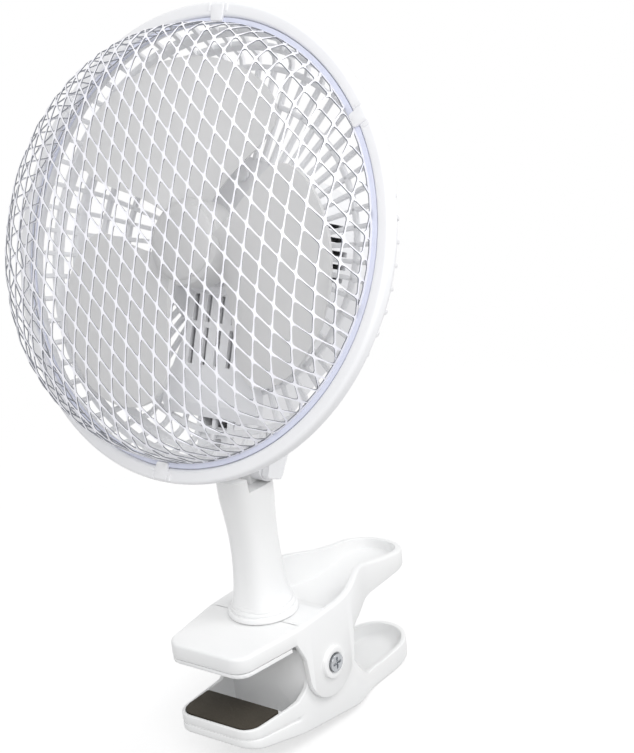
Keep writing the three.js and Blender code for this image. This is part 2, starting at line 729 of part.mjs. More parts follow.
// ---- Front guard: a domed sheet of slit and stretched metal with a flat flange ----
const flangeRearS = -flangeSeat + clearance;
const flangeFrontS = flangeRearS + flangeThickness;
const kneeS = flangeFrontS + domeHeight - domeKneeDrop;
const domeWall = new THREE.QuadraticBezierCurve(new THREE.Vector2(domeKneeRadius, kneeS),
  new THREE.Vector2(domeRadius - 3, kneeS - 4.2), new THREE.Vector2(domeRadius, flangeRearS + 0.1));

// A place on the dome: a shallow crown up to the knee, then a wall that falls to the flange.
function domePlace(reach, lift) {
  const onWall = reach > domeKneeRadius;
  const share = onWall ? (reach - domeKneeRadius) / (meshReach - domeKneeRadius) : reach / domeKneeRadius;
  const place = onWall ? domeWall.getPoint(Math.min(share, 1))
    : new THREE.Vector2(reach, kneeS + domeKneeDrop * (1 - share ** 3));
  const along = onWall ? domeWall.getTangent(Math.min(share, 1))
    : new THREE.Vector2(domeKneeRadius, -3 * domeKneeDrop * share ** 2).normalize();
  return [place.x - along.y * lift, place.y + along.x * lift];
}

// The place between two corners where the line between them leaves the mesh's reach.
function crossing(inside, outside, limit) {
  let [near, far] = [inside, outside];
  for (let i = 0; i < 20; i += 1) {
    const middle = near.clone().lerp(far, 0.5);
    if (middle.length() < limit) near = middle;
    else far = middle;
  }
  return near;
}

// A cell's outline kept inside the limit, with a straight edge where the circle cuts it.
function clipped(corners, limit) {
  const kept = [];
  corners.forEach((corner, k) => {
    const next = corners[(k + 1) % corners.length];
    const [isIn, nextIn] = [corner.length() < limit, next.length() < limit];
    if (isIn) kept.push(corner);
    if (isIn && !nextIn) kept.push(crossing(corner, next, limit));
    if (!isIn && nextIn) kept.push(crossing(next, corner, limit));
  });
  return kept;
}

// The openings between the strands, on a lattice that leans by the mesh's angle.
function diamonds() {
  const lean = THREE.MathUtils.degToRad(meshLeanDegrees);
  const long = new THREE.Vector2(Math.sin(lean), -Math.cos(lean));
  const short = new THREE.Vector2(Math.cos(lean), Math.sin(lean));
  const cells = [];
  const reach = Math.ceil((2 * meshReach) / meshShortWay) + 2;
  const sideLength = Math.hypot(meshLongWay, meshShortWay) / 2;
  const fullArea = (meshLongWay * meshShortWay) / 2;
  const shrink = 1 - (meshStrand * sideLength) / fullArea;
  for (let i = -reach; i <= reach; i += 1) {
    for (let j = -reach; j <= reach; j += 1) {
      if ((i + j) % 2 !== 0) continue;
      const middle = long.clone().multiplyScalar((i * meshLongWay) / 2);
      middle.addScaledVector(short, (j * meshShortWay) / 2);
      const corners = [long, short, long.clone().negate(), short.clone().negate()].map((way, k) => {
        const size = (k % 2 ? meshShortWay : meshLongWay) / 2;
        return middle.clone().addScaledVector(way, size * shrink);
      });
      const outline = clipped(corners, meshReach - 0.9);
      if (outline.length > 2 && THREE.ShapeUtils.area(outline) > fullArea * 0.12) cells.push(outline);
    }
  }
  return cells;
}

function domedMesh() {
  const cells = diamonds();
  console.log(`front guard: ${cells.length} openings`);
  const plan = new THREE.Shape();
  plan.absarc(0, 0, meshReach, 0, 2 * Math.PI, false);
  cells.forEach((outline) => plan.holes.push(new THREE.Path([...outline].reverse())));
  const sheet = new THREE.ExtrudeGeometry(plan, { depth: meshDepth, bevelEnabled: false, curveSegments: 48 });
  const position = sheet.attributes.position;
  for (let i = 0; i < position.count; i += 1) {
    const [x, y] = [position.getX(i), position.getY(i)];
    const reach = Math.max(Math.hypot(x, y), 1e-6);
    const [radius, s] = domePlace(reach, position.getZ(i) - meshDepth / 2);
    position.setXYZ(i, (x * radius) / reach, (y * radius) / reach, s);
  }
  return toSolid(sheet);
}

function frontGuard() {
  const outer = rimRadius - rimBand - clearance;
  const flange = cut(rodZ(outer, flangeRearS, flangeFrontS, 0, 0, 48),
    rodZ(domeRadius - 1.2, flangeRearS - 1, flangeFrontS + 1, 0, 0, 48));
  const below = box(-90, 90, -90, 90, flangeRearS - 5, flangeRearS);
  return cut(union(flange, domedMesh()), below, ...tabDegrees.map((degrees) => tabBlock(degrees, clearance)));
}

// ---- Impeller ----
// A broad petal: u runs from the hub to the tip, w across the blade, and the pitch tips it over.
function bladePoint(u, w, side) {
  const root = hubRadius - 2;
  const radius = root + u * (bladeTipRadius - root);
  const side2 = 2 * w - 1;
  const spread = 28 + 20 * Math.sin(Math.PI * Math.min(u, 0.66) / 1.32);
  const rounding = u > 0.62 ? Math.sqrt(Math.max(1 - ((u - 0.62) / 0.43) ** 2.6, 0.02)) : 1;
  const swept = -4 * u * u;
  const angle = THREE.MathUtils.degToRad(side2 * spread * rounding + swept);
  const s = side2 * rounding * bladePitchRise * (0.5 + 0.5 * u) - 1.5 + 2.5 * u;
  return [radius * Math.cos(angle), radius * Math.sin(angle), s + side * bladeThickness / 2];
}

function blade(index) {
  const front = (u, w) => bladePoint(u, w, 1);
  const back = (u, w) => bladePoint(u, w, -1);
  const solid = plateFromGrid(front, back, 6, 5);
  return solid.rotate([0, 0, bladeFirstDegrees + (index * 360) / bladeCount]);
}

function impeller() {
  const back = hubFront - hubDepth;
  const shell = spin([[0, back], [hubRadius, back], [hubRadius, hubFront - 2], [hubRadius - 2, hubFront],
    [0, hubFront]], 30);
  const hollow = cut(rodZ(hubRadius - 2, back - 1, hubFront - 2.2, 0, 0, 30),
    rodZ(5, back - 2, hubFront, 0, 0, 16));
  const blades = [];
  for (let i = 0; i < bladeCount; i += 1) blades.push(blade(i));
  const bladed = cut(union(...blades), rodZ(hubRadius - 1, -40, 40, 0, 0, 30));
  const seat = rodZ(noseRadius + clearance, hubFront - 1.4, hubFront + 1, 0, 0, 24);
  const bore = rodZ(shaftRadius + 0.15, back - 2, hubFront - 3.6, 0, 0, 12);
  return cut(union(cut(shell, hollow), bladed), seat, bore);
}

function hubCap() {
  const base = hubFront - 1.4 + clearance;
  const profile = [[0, base], [noseRadius, base]];
  for (let i = 0; i <= 4; i += 1) {
    const turn = (i / 4) * Math.PI / 2;
    profile.push([noseRadius * Math.cos(turn), hubFront + noseHeight * Math.sin(turn)]);
  }
  profile[profile.length - 1][0] = 0;
  return spin(profile, 20);
}

// ---- Motor housing ----
// The outline of the motor's shell seen from behind: a circle that narrows to the tail.
function shellOutline(inset) {
  const points = [];
  const radius = motorRadius - inset;
  for (let i = 0; i <= 20; i += 1) {
    const turn = THREE.MathUtils.degToRad(-28 + (i / 20) * 236);
    points.push([radius * Math.cos(turn), radius * Math.sin(turn)]);
  }
  const half = tailHalfWidth - inset;
  points.push([-half - 7, -46 + inset], [-half, tiltV + tiltBossRadius + 8]);
  points.push([-half, tiltV], [half, tiltV], [half, tiltV + tiltBossRadius + 8], [half + 7, -46 + inset]);
  return points;
}

// The same shell from the side: [s, v] points, deep at the motor and thin at the tail.
function shellSide(inset) {
  const front = plateRearS - clearance + (inset > 0 ? 5 : 0);
  const rear = -motorRear + inset;
  const tailRear = tiltS - tiltBossRadius + inset;
  const top = motorRadius + 2 - inset;
  return [[front, tiltV], [front, top], [rear + 20, top], [rear + 9, top - 5], [rear + 2, top - 14], [rear, 12],
    [rear, -36], [rear + 3, -44], [tailRear - 3, -60], [tailRear, -71], [tailRear, tiltV]];
}

// A side outline of [s, v] points as a slab across x.
function acrossHead(points, x0, x1) {
  const geometry = new THREE.ExtrudeGeometry(shapeOf(points), { depth: x1 - x0, bevelEnabled: false });
  geometry.applyMatrix4(new THREE.Matrix4().set(0, 0, 1, x0, 0, 1, 0, 0, 1, 0, 0, 0, 0, 0, 0, 1));
  return toSolidUpright(geometry);
}

// The same outline is wound either way, so a mirrored one is turned inside out.
function toSolidUpright(geometry) {
  const bare = geometry.clone();
  bare.deleteAttribute('normal');
  bare.deleteAttribute('uv');
  const merged = mergeVertices(bare, 1e-4);
  return closed(Array.from(merged.attributes.position.array), Array.from(merged.index.array));
}

function motorShell() {
  const outer = raise(shellOutline(0), -120, 0).intersect(acrossHead(shellSide(0), -60, 60));
  const inner = raise(shellOutline(shellWall), -121, 1).intersect(acrossHead(shellSide(shellWall), -60, 60));
  const tailStart = tiltV + tiltBossRadius + 6;
  const room = cut(inner, box(-60, 60, -200, tailStart, -200, 10));
  const belowTilt = box(-60, 60, -200, tiltV, -200, 10);
  const ears = union(rodX(tiltBossRadius, -tailHalfWidth, tailHalfWidth, tiltV, tiltS, 20),
    box(-tailHalfWidth, tailHalfWidth, tiltV, tailStart + 3, tiltS - tiltBossRadius, tiltS + tiltBossRadius));
  const body = union(cut(outer, room, belowTilt), ears);
  return cut(union(body, ...screwPosts(outer)), ...shellOpenings());
}

// The posts behind the cage's plate that its screws bite in.
function screwPosts(outer) {
  const [rear, front] = [plateRearS - 11.4, plateRearS - clearance];
  return plateScrewPlaces.map(([x, v]) => rodZ(4, rear, front, x, v, 12).intersect(outer));
}

// The tongue's slot, the bores, the switch's window, the cord's hole and the side vents.
function shellOpenings() {
  const halfSlot = tonguePlate / 2 + runningGap;
  const slot = box(-halfSlot, halfSlot, tiltV - 20, tiltV + tiltBossRadius + 1.4, -200, 10);
  const bore = rodX(tiltBoltRadius + clearance, -60, 60, tiltV, tiltS, 12);
  const [hx, hv] = [switchHalfWidth + clearance, switchHalfHeight + clearance];
  const window = box(-hx, hx, switchV - hv, switchV + hv, -motorRear - 5, -motorRear + 8);
  const cordHole = rodZ(3.6, -motorRear - 5, -motorRear + 8, 0, bushingV, 16);
  const vents = [];
  for (let i = 0; i < 5; i += 1) {
    const v = -8 + i * 5.2;
    vents.push(box(-60, -motorRadius + 7, v, v + 2, -motorRear + 22, -motorRear + 38));
    vents.push(box(motorRadius - 7, 60, v, v + 2, -motorRear + 22, -motorRear + 38));
  }
  const pilots = plateScrewPlaces.map(([x, v]) => rodZ(screwRadius + 0.2, plateRearS - 10, 0, x, v, 10));
  return [slot, bore, window, cordHole, ...vents, ...pilots];
}

function plateScrew([x, v]) {
  const face = plateFrontS + clearance;
  return union(rodZ(screwHeadRadius, face, face + 1.8, x, v, 16),
    rodZ(screwRadius, plateRearS - 8.8, face + 1, x, v, 10));
}

// The vented column below the hub, in front of the cage's back plate.
function ventOutline(inset) {
  const top = ventTopHalfWidth - inset;
  const skirt = ventSkirtHalfWidth - inset;
  const right = [[skirt, ventBottomV + inset], [skirt - 1.5, ventBottomV + 12], [top + 4.5, -48], [top, -34]];
  const crown = [[top - 0.4, ventTopV - 5], [top - 4, ventTopV - 1 - inset], [0, ventTopV - inset]];
  const half = [...right, ...crown];
  return half.concat(half.slice(0, -1).map(([x, v]) => [-x, v]).reverse());
}

// The column from the side: a hood at the top, the slotted face, and a skirt that slopes back.
function ventSide(inset) {
  const back = plateFrontS + clearance - (inset ? 1 : 0);
  const front = ventFrontS - inset;
  return [[back, ventBottomV - 1], [back, ventTopV + 1], [ventHoodS - 1 - inset, ventTopV + 1],
    [ventHoodS - inset, ventTopV - 1.6], [front, ventTopV - 4], [front, -50], [front - 3, -62],
    [back + 1, ventBottomV - 1]];
}

function ventCover() {
  const outer = raise(ventOutline(0), -60, 0).intersect(acrossHead(ventSide(0), -60, 60));
  const inner = raise(ventOutline(1.8), -61, 1).intersect(acrossHead(ventSide(1.8), -60, 60));
  const slots = [];
  for (const [v0, v1] of [[-46.4, -31.8], [-29.4, -18.8]]) {
    for (let i = 0; i < ventSlotsPerRow; i += 1) {
      const x = (i - (ventSlotsPerRow - 1) / 2) * ventSlotPitch;
      slots.push(box(x - ventSlotWidth / 2, x + ventSlotWidth / 2, v0, v1, ventFrontS - 8, ventFrontS + 5));
    }
  }
  return cut(cut(outer, inner), ...slots);
}

// ---- Motor ----
function stator() {
  const half = statorSize / 2;
  const rear = statorFrontS - statorLength;
  const stack = box(-half, half, -half + 3, half - 3, rear, statorFrontS);
  const leg = box(-6.5, 6.5, -half - 9, -half + 4, rear, statorFrontS);
  const bore = rodZ(rotorRadius + runningGap, rear - 1, statorFrontS + 1, 0, 0, 20);
  return cut(union(stack, leg), bore);
}

function coil() {
  const half = statorSize / 2;
  const rear = statorFrontS - statorLength;
  const block = box(-12, 12, -half - 8.6, -half + 3 - clearance - 0.4, rear - 4, statorFrontS + 4);
  const halfLeg = 6.5 + clearance;
  const core = box(-halfLeg, halfLeg, -half - 20, -half + 20, rear - clearance, statorFrontS + clearance);
  return cut(block, core);
}

function motorRotor() {
  const rear = statorFrontS - statorLength;
  const body = rodZ(rotorRadius, rear + 0.5, statorFrontS - 0.5, 0, 0, 20);
  return cut(body, rodZ(shaftRadius + 0.15, rear - 1, statorFrontS + 1, 0, 0, 12));
}

function shaft() {
  return rodZ(shaftRadius, statorFrontS - statorLength - 9.4, hubFront - 4, 0, 0, 12);
}

function bearing(s0) {
  return cut(rodZ(bearingRadius, s0, s0 + bearingLength, 0, 0, 20),
    rodZ(shaftRadius + 0.2, s0 - 1, s0 + bearingLength + 1, 0, 0, 12));
}

const bracketThickness = 2;
const frontBearingS = statorFrontS + 4.5;
const rearBearingS = statorFrontS - statorLength - 4.5 - bearingLength;

// A pressed bar across the stator that carries a bearing in its collar.
function bracket(isFront) {
  const near = isFront ? statorFrontS : statorFrontS - statorLength;
  const way = isFront ? 1 : -1;
  const half = statorSize / 2;
  const s = (a, b) => [Math.min(near + way * a, near + way * b), Math.max(near + way * a, near + way * b)];
  const bar = box(-half, half, -6, 6, ...s(4.5, 4.5 + bracketThickness));
  const feet = [-1, 1].map((side) => {
    const x = side * (half - 2);
    return box(Math.min(x - 2, x + 2), Math.max(x - 2, x + 2), -6, 6, ...s(clearance, 5.5));
  });
  const collar = rodZ(bearingRadius + 2, ...s(4.5, 4.5 + bearingLength), 0, 0, 20);
  const seat = rodZ(bearingRadius + clearance, ...s(-5, 20), 0, 0, 20);
  return cut(union(bar, ...feet, collar), seat);
}

// ---- Switch and cord inlet ----
function switchBody() {
  const [hx, hv] = [switchHalfWidth, switchHalfHeight];
  const face = -motorRear;
  const body = box(-hx, hx, switchV - hv, switchV + hv, face - 1, face + 8.2);
  const [fx, fv] = [hx + 1.4, hv + 1.4];
  const flange = box(-fx, fx, switchV - fv, switchV + fv, face - 1.8, face - clearance);
  const pocket = box(-hx + 1.4, hx - 1.4, switchV - hv + 1.4, switchV + hv - 1.4, face - 3, face + 5);
  return cut(union(body, flange), pocket);
}

function rocker() {
  const [hx, hv] = [switchHalfWidth - 1.8, switchHalfHeight];
  const face = -motorRear;
  const profile = [[face + 2.2, 0], [face + 0.4, hv - 2.6], [face - 1.4, hv - 2.8], [face - 2.4, 0],
    [face - 3.6, -hv + 2.8], [face - 1.2, -hv + 2.6], [face + 0.8, -hv + 3]];
  return acrossHead(profile.map(([s, v]) => [s, v + switchV]), -hx, hx);
}

function cordBushing() {
  const face = -motorRear - clearance;
  const flange = rodZ(5.4, face - 2, face, 0, bushingV, 18);
  const neckRod = rodZ(3.3, face - 1, face + 6, 0, bushingV, 12);
  const barrel = union(flange, neckRod, rodZ(4.4, face - 9, face - 1, 0, bushingV, 14));
  return cut(barrel, rodZ(2.2, face - 20, face + 20, 0, bushingV, 10));
}

function tiltBolt() {
  const half = tailHalfWidth + clearance;
  const [y, z] = [tiltY - neckY, tiltZ];
  const head = rodX(tiltHeadRadius, half, half + tiltHeadHeight, y, z, 20);
  const across = box(half + 1, half + 3, y - 2.4, y + 2.4, z - 0.5, z + 0.5);
  return cut(union(rodX(tiltBoltRadius, -half - 1.4, half + 1, y, z, 16), head), across);
}

function tiltNut() {
  const half = tailHalfWidth + clearance;
  const [y, z] = [tiltY - neckY, tiltZ];
  const socket = rodX(tiltBoltRadius + 0.2, -half - 1.7, -half + 1, y, z, 16);
  return cut(rodX(3.5, -half - 2.4, -half, y, z, 6), socket);
}

// The snap-on cover over the tilt bolt's head, with a round pocket that clears it.
function tiltCover() {
  const base = tailHalfWidth + clearance;
  const reach = tiltHeadRadius + 1.2;
  const [low, high] = [tiltV - reach - 1, tiltV + 2 * tiltBossRadius - 0.6];
  const [rear, front] = [tiltS - reach, tiltS + reach];
  const outline = [[rear - 4, high], [rear, low + 1.5], [rear + 1, low], [front - 1, low], [front, low + 1], [front, high]];
  const block = acrossHead(outline, base, base + tiltCoverHeight);
  const pocket = rodX(tiltHeadRadius + clearance, base - 1, base + tiltHeadHeight + clearance, tiltV, tiltS, 16);
  return cut(block, pocket);
}

// ---- Assembly ----
const springPoints = springLine();
console.log(`spring: least gap between curls ${leastCurlGap(springPoints).toFixed(2)} mm`);

addPart(clipFan, 'upper_jaw', upperJaw(), whitePlastic);
addPart(clipFan, 'jaw_lining', jawLining(), whitePlastic);
addPart(clipFan, 'upper_pad', raise(padOutline(upperPadHalfWidth, -upperPadHalfDepth, upperPadHalfDepth, 3),
  0, padThickness), padFoam);
liningScrewPlaces().forEach((place, i) => {
  addPart(clipFan, `lining_screw_${i + 1}`, liningScrew(place), brightSteel);
});
addPart(clipFan, 'lower_jaw', lowerJaw(), whitePlastic);
addPart(clipFan, 'lower_pad', raise(padOutline(lowerPadHalfWidth, lowerPadFrontY, lowerPadRearY, 6),
  lowerPadTop - padThickness, lowerPadTop), padFoam);
addPart(clipFan, 'pivot_bolt', pivotBolt(), brightSteel);
addPart(clipFan, 'pivot_nut', pivotNut(), brightSteel);
addPart(clipFan, 'torsion_spring', wireThrough(springPoints, springWire / 2, 5), brightSteel);

addPart(neckGroup, 'neck', neck(), whitePlastic);
addPart(neckGroup, 'neck_washer', neckWasher(), brightSteel);
addPart(neckGroup, 'neck_screw', neckScrew(), brightSteel);
addPart(neckGroup, 'tilt_bolt', tiltBolt(), brightSteel);
addPart(neckGroup, 'tilt_nut', tiltNut(), brightSteel);

addPart(headGroup, 'rear_guard', rearGuard(), whitePlastic);
addPart(headGroup, 'front_guard', frontGuard(), coatedSteel);
addPart(headGroup, 'vent_cover', ventCover(), whitePlastic);
addPart(headGroup, 'motor_shell', motorShell(), whitePlastic);
addPart(headGroup, 'tilt_cover', tiltCover(), whitePlastic);
plateScrewPlaces.forEach((place, i) => {
  addPart(headGroup, `plate_screw_${i + 1}`, plateScrew(place), brightSteel);
});
addPart(headGroup, 'impeller', impeller(), bladePlastic);
addPart(headGroup, 'hub_cap', hubCap(), bladePlastic);
addPart(headGroup, 'shaft', shaft(), brightSteel);
addPart(headGroup, 'motor_rotor', motorRotor(), ironPlate);
addPart(headGroup, 'stator', stator(), ironPlate);
addPart(headGroup, 'coil', coil(), copperWire);
addPart(headGroup, 'front_bracket', bracket(true), ironPlate);
addPart(headGroup, 'rear_bracket', bracket(false), ironPlate);
addPart(headGroup, 'front_bearing', bearing(frontBearingS), brightSteel);
addPart(headGroup, 'rear_bearing', bearing(rearBearingS), brightSteel);
addPart(headGroup, 'switch_body', switchBody(), blackPlastic);
addPart(headGroup, 'rocker', rocker(), blackPlastic);
addPart(headGroup, 'cord_bushing', cordBushing(), blackPlastic);

export default clipFan;
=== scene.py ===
import bpy
import bmesh
import math
import numpy as np
from mathutils import Matrix


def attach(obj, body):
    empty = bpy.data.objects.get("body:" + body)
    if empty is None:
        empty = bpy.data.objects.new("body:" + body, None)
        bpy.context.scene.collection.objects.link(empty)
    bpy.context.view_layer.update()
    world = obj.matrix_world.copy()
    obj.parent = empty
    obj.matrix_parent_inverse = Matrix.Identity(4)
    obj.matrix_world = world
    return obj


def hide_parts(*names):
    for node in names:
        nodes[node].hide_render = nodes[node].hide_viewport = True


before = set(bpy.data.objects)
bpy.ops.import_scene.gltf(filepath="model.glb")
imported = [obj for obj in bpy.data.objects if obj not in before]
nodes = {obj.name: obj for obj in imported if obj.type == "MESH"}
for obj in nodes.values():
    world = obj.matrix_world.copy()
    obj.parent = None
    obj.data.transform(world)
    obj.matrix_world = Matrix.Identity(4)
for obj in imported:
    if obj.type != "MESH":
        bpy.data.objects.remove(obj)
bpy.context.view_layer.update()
print("frame loaded:", len(nodes), "nodes")

mm = 0.001

# camera: the view that the fan was measured from
view = {"azimuth": 39.23, "elevation": 19.17, "roll": 6.54, "shiftX": -22.21, "shiftY": -97.49,
        "distance": 752.61, "focalPixels": 1800.0, "width": 634.0, "target": (0.0, 24.0, 11.0)}


def placeCamera(v):
    # back points from the fan to the camera; right and up span the image and are rolled about back
    a, e, r = (math.radians(v[k]) for k in ("azimuth", "elevation", "roll"))
    back = np.array([math.sin(a) * math.cos(e), -math.cos(a) * math.cos(e), math.sin(e)])
    right = np.array([math.cos(a), math.sin(a), 0.0])
    up = np.cross(back, right)
    c, s = math.cos(r), math.sin(r)
    rows = np.array([[c, -s, 0], [s, c, 0], [0, 0, 1]]) @ np.array([right, up, back])
    place = (rows.T @ -np.array([v["shiftX"], v["shiftY"], -v["distance"]]) + np.array(v["target"])) * mm
    camera = bpy.data.objects.new("camera", bpy.data.cameras.new("camera"))
    camera.data.sensor_fit = "HORIZONTAL"
    camera.data.sensor_width = 36.0
    camera.data.lens = v["focalPixels"] / v["width"] * 36.0
    camera.data.clip_start = 0.05
    world = np.eye(4)
    world[:3, :3] = rows.T
    world[:3, 3] = place
    camera.matrix_world = Matrix(world.tolist())
    bpy.context.scene.collection.objects.link(camera)
    bpy.context.scene.camera = camera
    return rows


cameraRows = placeCamera(view)

# helpers: grids of points, in millimetres, become pieces
tilt = math.radians(21.85)
headCentre = np.array([0.0, 9.0, 174.7])
headAxes = np.array([[1, 0, 0], [0, math.sin(tilt), math.cos(tilt)], [0, -math.cos(tilt), math.sin(tilt)]])


def toHead(points):
    # x to the right, v up in the plane of the rim, s forward along the fan's axis
    return headCentre + points @ headAxes


def gridFaces(rows, cols, wrapRows=False, wrapCols=False):
    # one four-sided face for each cell of a grid of points, row by row
    lastRow = rows if wrapRows else rows - 1
    lastCol = cols if wrapCols else cols - 1
    i, j = np.meshgrid(np.arange(lastRow), np.arange(lastCol), indexing="ij")
    i2, j2 = (i + 1) % rows, (j + 1) % cols
    return np.stack([i * cols + j, i * cols + j2, i2 * cols + j2, i2 * cols + j], axis=-1).reshape(-1, 4)


class Parts:
    # surfaces gathered into one mesh
    def __init__(self):
        self.points, self.faces, self.count = [], [], 0

    def add(self, points, faces):
        self.points.append(points.reshape(-1, 3))
        self.faces.append(np.asarray(faces) + self.count)
        self.count += self.points[-1].shape[0]
        return self

    def grid(self, points, wrapRows=False, wrapCols=False):
        return self.add(points, gridFaces(points.shape[0], points.shape[1], wrapRows, wrapCols))


def finishPiece(piece, material, body, replaced, angle, modify):
    mesh = piece.data
    mesh.shade_smooth()
    mesh.set_sharp_from_angle(angle=math.radians(angle))
    mesh.materials.clear()
    mesh.materials.append(material)
    bpy.context.scene.collection.objects.link(piece)
    if modify:
        modify(piece)
    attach(piece, body)
    if replaced:
        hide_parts(*replaced)
    return piece


def weld(mesh, distance):
    work = bmesh.new()
    work.from_mesh(mesh)
    bmesh.ops.remove_doubles(work, verts=work.verts, dist=distance * mm)
    bmesh.ops.dissolve_degenerate(work, edges=work.edges, dist=0.001 * mm)
    bmesh.ops.recalc_face_normals(work, faces=work.faces)
    work.to_mesh(mesh)
    work.free()


def makePiece(name, parts, body, material, replaced=(), merge=0.01, angle=40, modify=None):
    mesh = bpy.data.meshes.new(name)
    faces = [f for block in parts.faces for f in block.tolist()]
    mesh.from_pydata((np.concatenate(parts.points) * mm).tolist(), [], faces)
    weld(mesh, merge)
    return finishPiece(bpy.data.objects.new(name, mesh), material, body, replaced, angle, modify)


def bevel(width, segments=2, angle=32):
    def modify(piece):
        m = piece.modifiers.new("edges", "BEVEL")
        m.width = width * mm
        m.segments = segments
        m.limit_method = "ANGLE"
        m.angle_limit = math.radians(angle)
        m.harden_normals = True
    return modify


def fromNode(node, body, material, name, edge=0.3, angle=32, reshape=None):
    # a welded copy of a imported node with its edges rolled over; reshape moves its points
    mesh = nodes[node].data.copy()
    weld(mesh, 0.003)
    if reshape:
        flat = np.empty(len(mesh.vertices) * 3)
        mesh.vertices.foreach_get("co", flat)
        mesh.vertices.foreach_set("co", (reshape(flat.reshape(-1, 3) / mm) * mm).ravel())
        mesh.update()
    piece = bpy.data.objects.new(name, mesh)
    return finishPiece(piece, material, body, (node,), angle, bevel(edge, 2, angle))


def lathe(profile, segments, place=None):
    # a profile of [radius, height] carried round the axis
    turn = np.linspace(0, 2 * np.pi, segments, endpoint=False)[:, None]
    profile = np.asarray(profile, float)
    r, h = profile[:, 0][None, :], profile[:, 1][None, :]
    points = np.stack([r * np.cos(turn), r * np.sin(turn), h + 0 * turn], axis=-1)
    return points if place is None else place(points)


def rounded(points, radius, steps=3):
    # a closed outline with each corner replaced by a curve that starts radius before it
    p = np.asarray(points, float)
    before, after = np.roll(p, 1, axis=0) - p, np.roll(p, -1, axis=0) - p
    lb, la = np.linalg.norm(before, axis=1)[:, None], np.linalg.norm(after, axis=1)[:, None]
    a = p + before / lb * np.minimum(radius, lb * 0.45)
    b = p + after / la * np.minimum(radius, la * 0.45)
    t = np.linspace(0, 1, steps + 1)[None, :, None]
    curve = (1 - t) ** 2 * a[:, None] + 2 * t * (1 - t) * p[:, None] + t ** 2 * b[:, None]
    return curve.reshape(-1, 2)


def slab(outline, low, high, edge, place=None, middle=None):
    # an outline raised from low to high; its rings shrink towards the middle where the edges roll over
    outline = np.asarray(outline, float)
    middle = outline.mean(axis=0) if middle is None else np.asarray(middle, float)
    roll = np.linspace(0, np.pi / 2, 4)
    inset = np.concatenate([[None], edge * (1 - np.sin(roll)), edge * (1 - np.cos(roll)), [None]])
    level = np.concatenate([[low], low + edge * (1 - np.cos(roll)), high - edge * (1 - np.sin(roll)), [high]])
    away = outline - middle
    reach = np.linalg.norm(away, axis=1)[:, None]
    rings = []
    for i, z in zip(inset, level):
        share = 0.001 if i is None else 1 - i / reach
        rings.append(np.column_stack([middle + away * share, np.full(len(away), z)]))
    points = np.array(rings)
    return points if place is None else place(points)


def alongX(points):
    # an outline in y and z with its height along x
    return np.stack([points[..., 2], points[..., 0], points[..., 1]], axis=-1)


def alongY(points):
    return np.stack([points[..., 0], points[..., 2], points[..., 1]], axis=-1)


# materials
def linear(*rgb):
    c = np.asarray(rgb, float) / 255
    return (*np.where(c <= 0.04045, c / 12.92, ((c + 0.055) / 1.055) ** 2.4), 1.0)


def makeSkinTree():
    # masks for any finish: fine grain for the bump, a slow mottle, dust on what faces up, and worn edges
    tree = bpy.data.node_groups.new("moulded skin", "ShaderNodeTree")
    for name, value in (("Grain Scale", 900.0), ("Mottle Scale", 18.0)):
        tree.interface.new_socket(name, in_out="INPUT", socket_type="NodeSocketFloat").default_value = value
    for name in ("Height", "Mottle", "Dust", "Edge"):
        tree.interface.new_socket(name, in_out="OUTPUT", socket_type="NodeSocketFloat")
    add, join = tree.nodes.new, tree.links.new
    into, out, place = add("NodeGroupInput"), add("NodeGroupOutput"), add("ShaderNodeTexCoord")
    for source, target, detail in (("Grain Scale", "Height", 3.0), ("Mottle Scale", "Mottle", 4.0)):
        noise = add("ShaderNodeTexNoise")
        noise.inputs["Detail"].default_value = detail
        join(place.outputs["Object"], noise.inputs["Vector"])
        join(into.outputs[source], noise.inputs["Scale"])
        join(noise.outputs["Fac"], out.inputs[target])
        if target == "Mottle":
            mottle = noise
    shape, split = add("ShaderNodeNewGeometry"), add("ShaderNodeSeparateXYZ")
    join(shape.outputs["Normal"], split.inputs["Vector"])
    up, speck = add("ShaderNodeMapRange"), add("ShaderNodeMath")
    up.inputs["From Min"].default_value = 0.35
    join(split.outputs["Z"], up.inputs["Value"])
    speck.operation = "MULTIPLY"
    join(up.outputs["Result"], speck.inputs[0])
    join(mottle.outputs["Fac"], speck.inputs[1])
    join(speck.outputs["Value"], out.inputs["Dust"])
    worn = add("ShaderNodeMapRange")
    worn.inputs["From Min"].default_value = 0.53
    worn.inputs["From Max"].default_value = 0.62
    join(shape.outputs["Pointiness"], worn.inputs["Value"])
    join(worn.outputs["Result"], out.inputs["Edge"])
    return tree


skinTree = makeSkinTree()


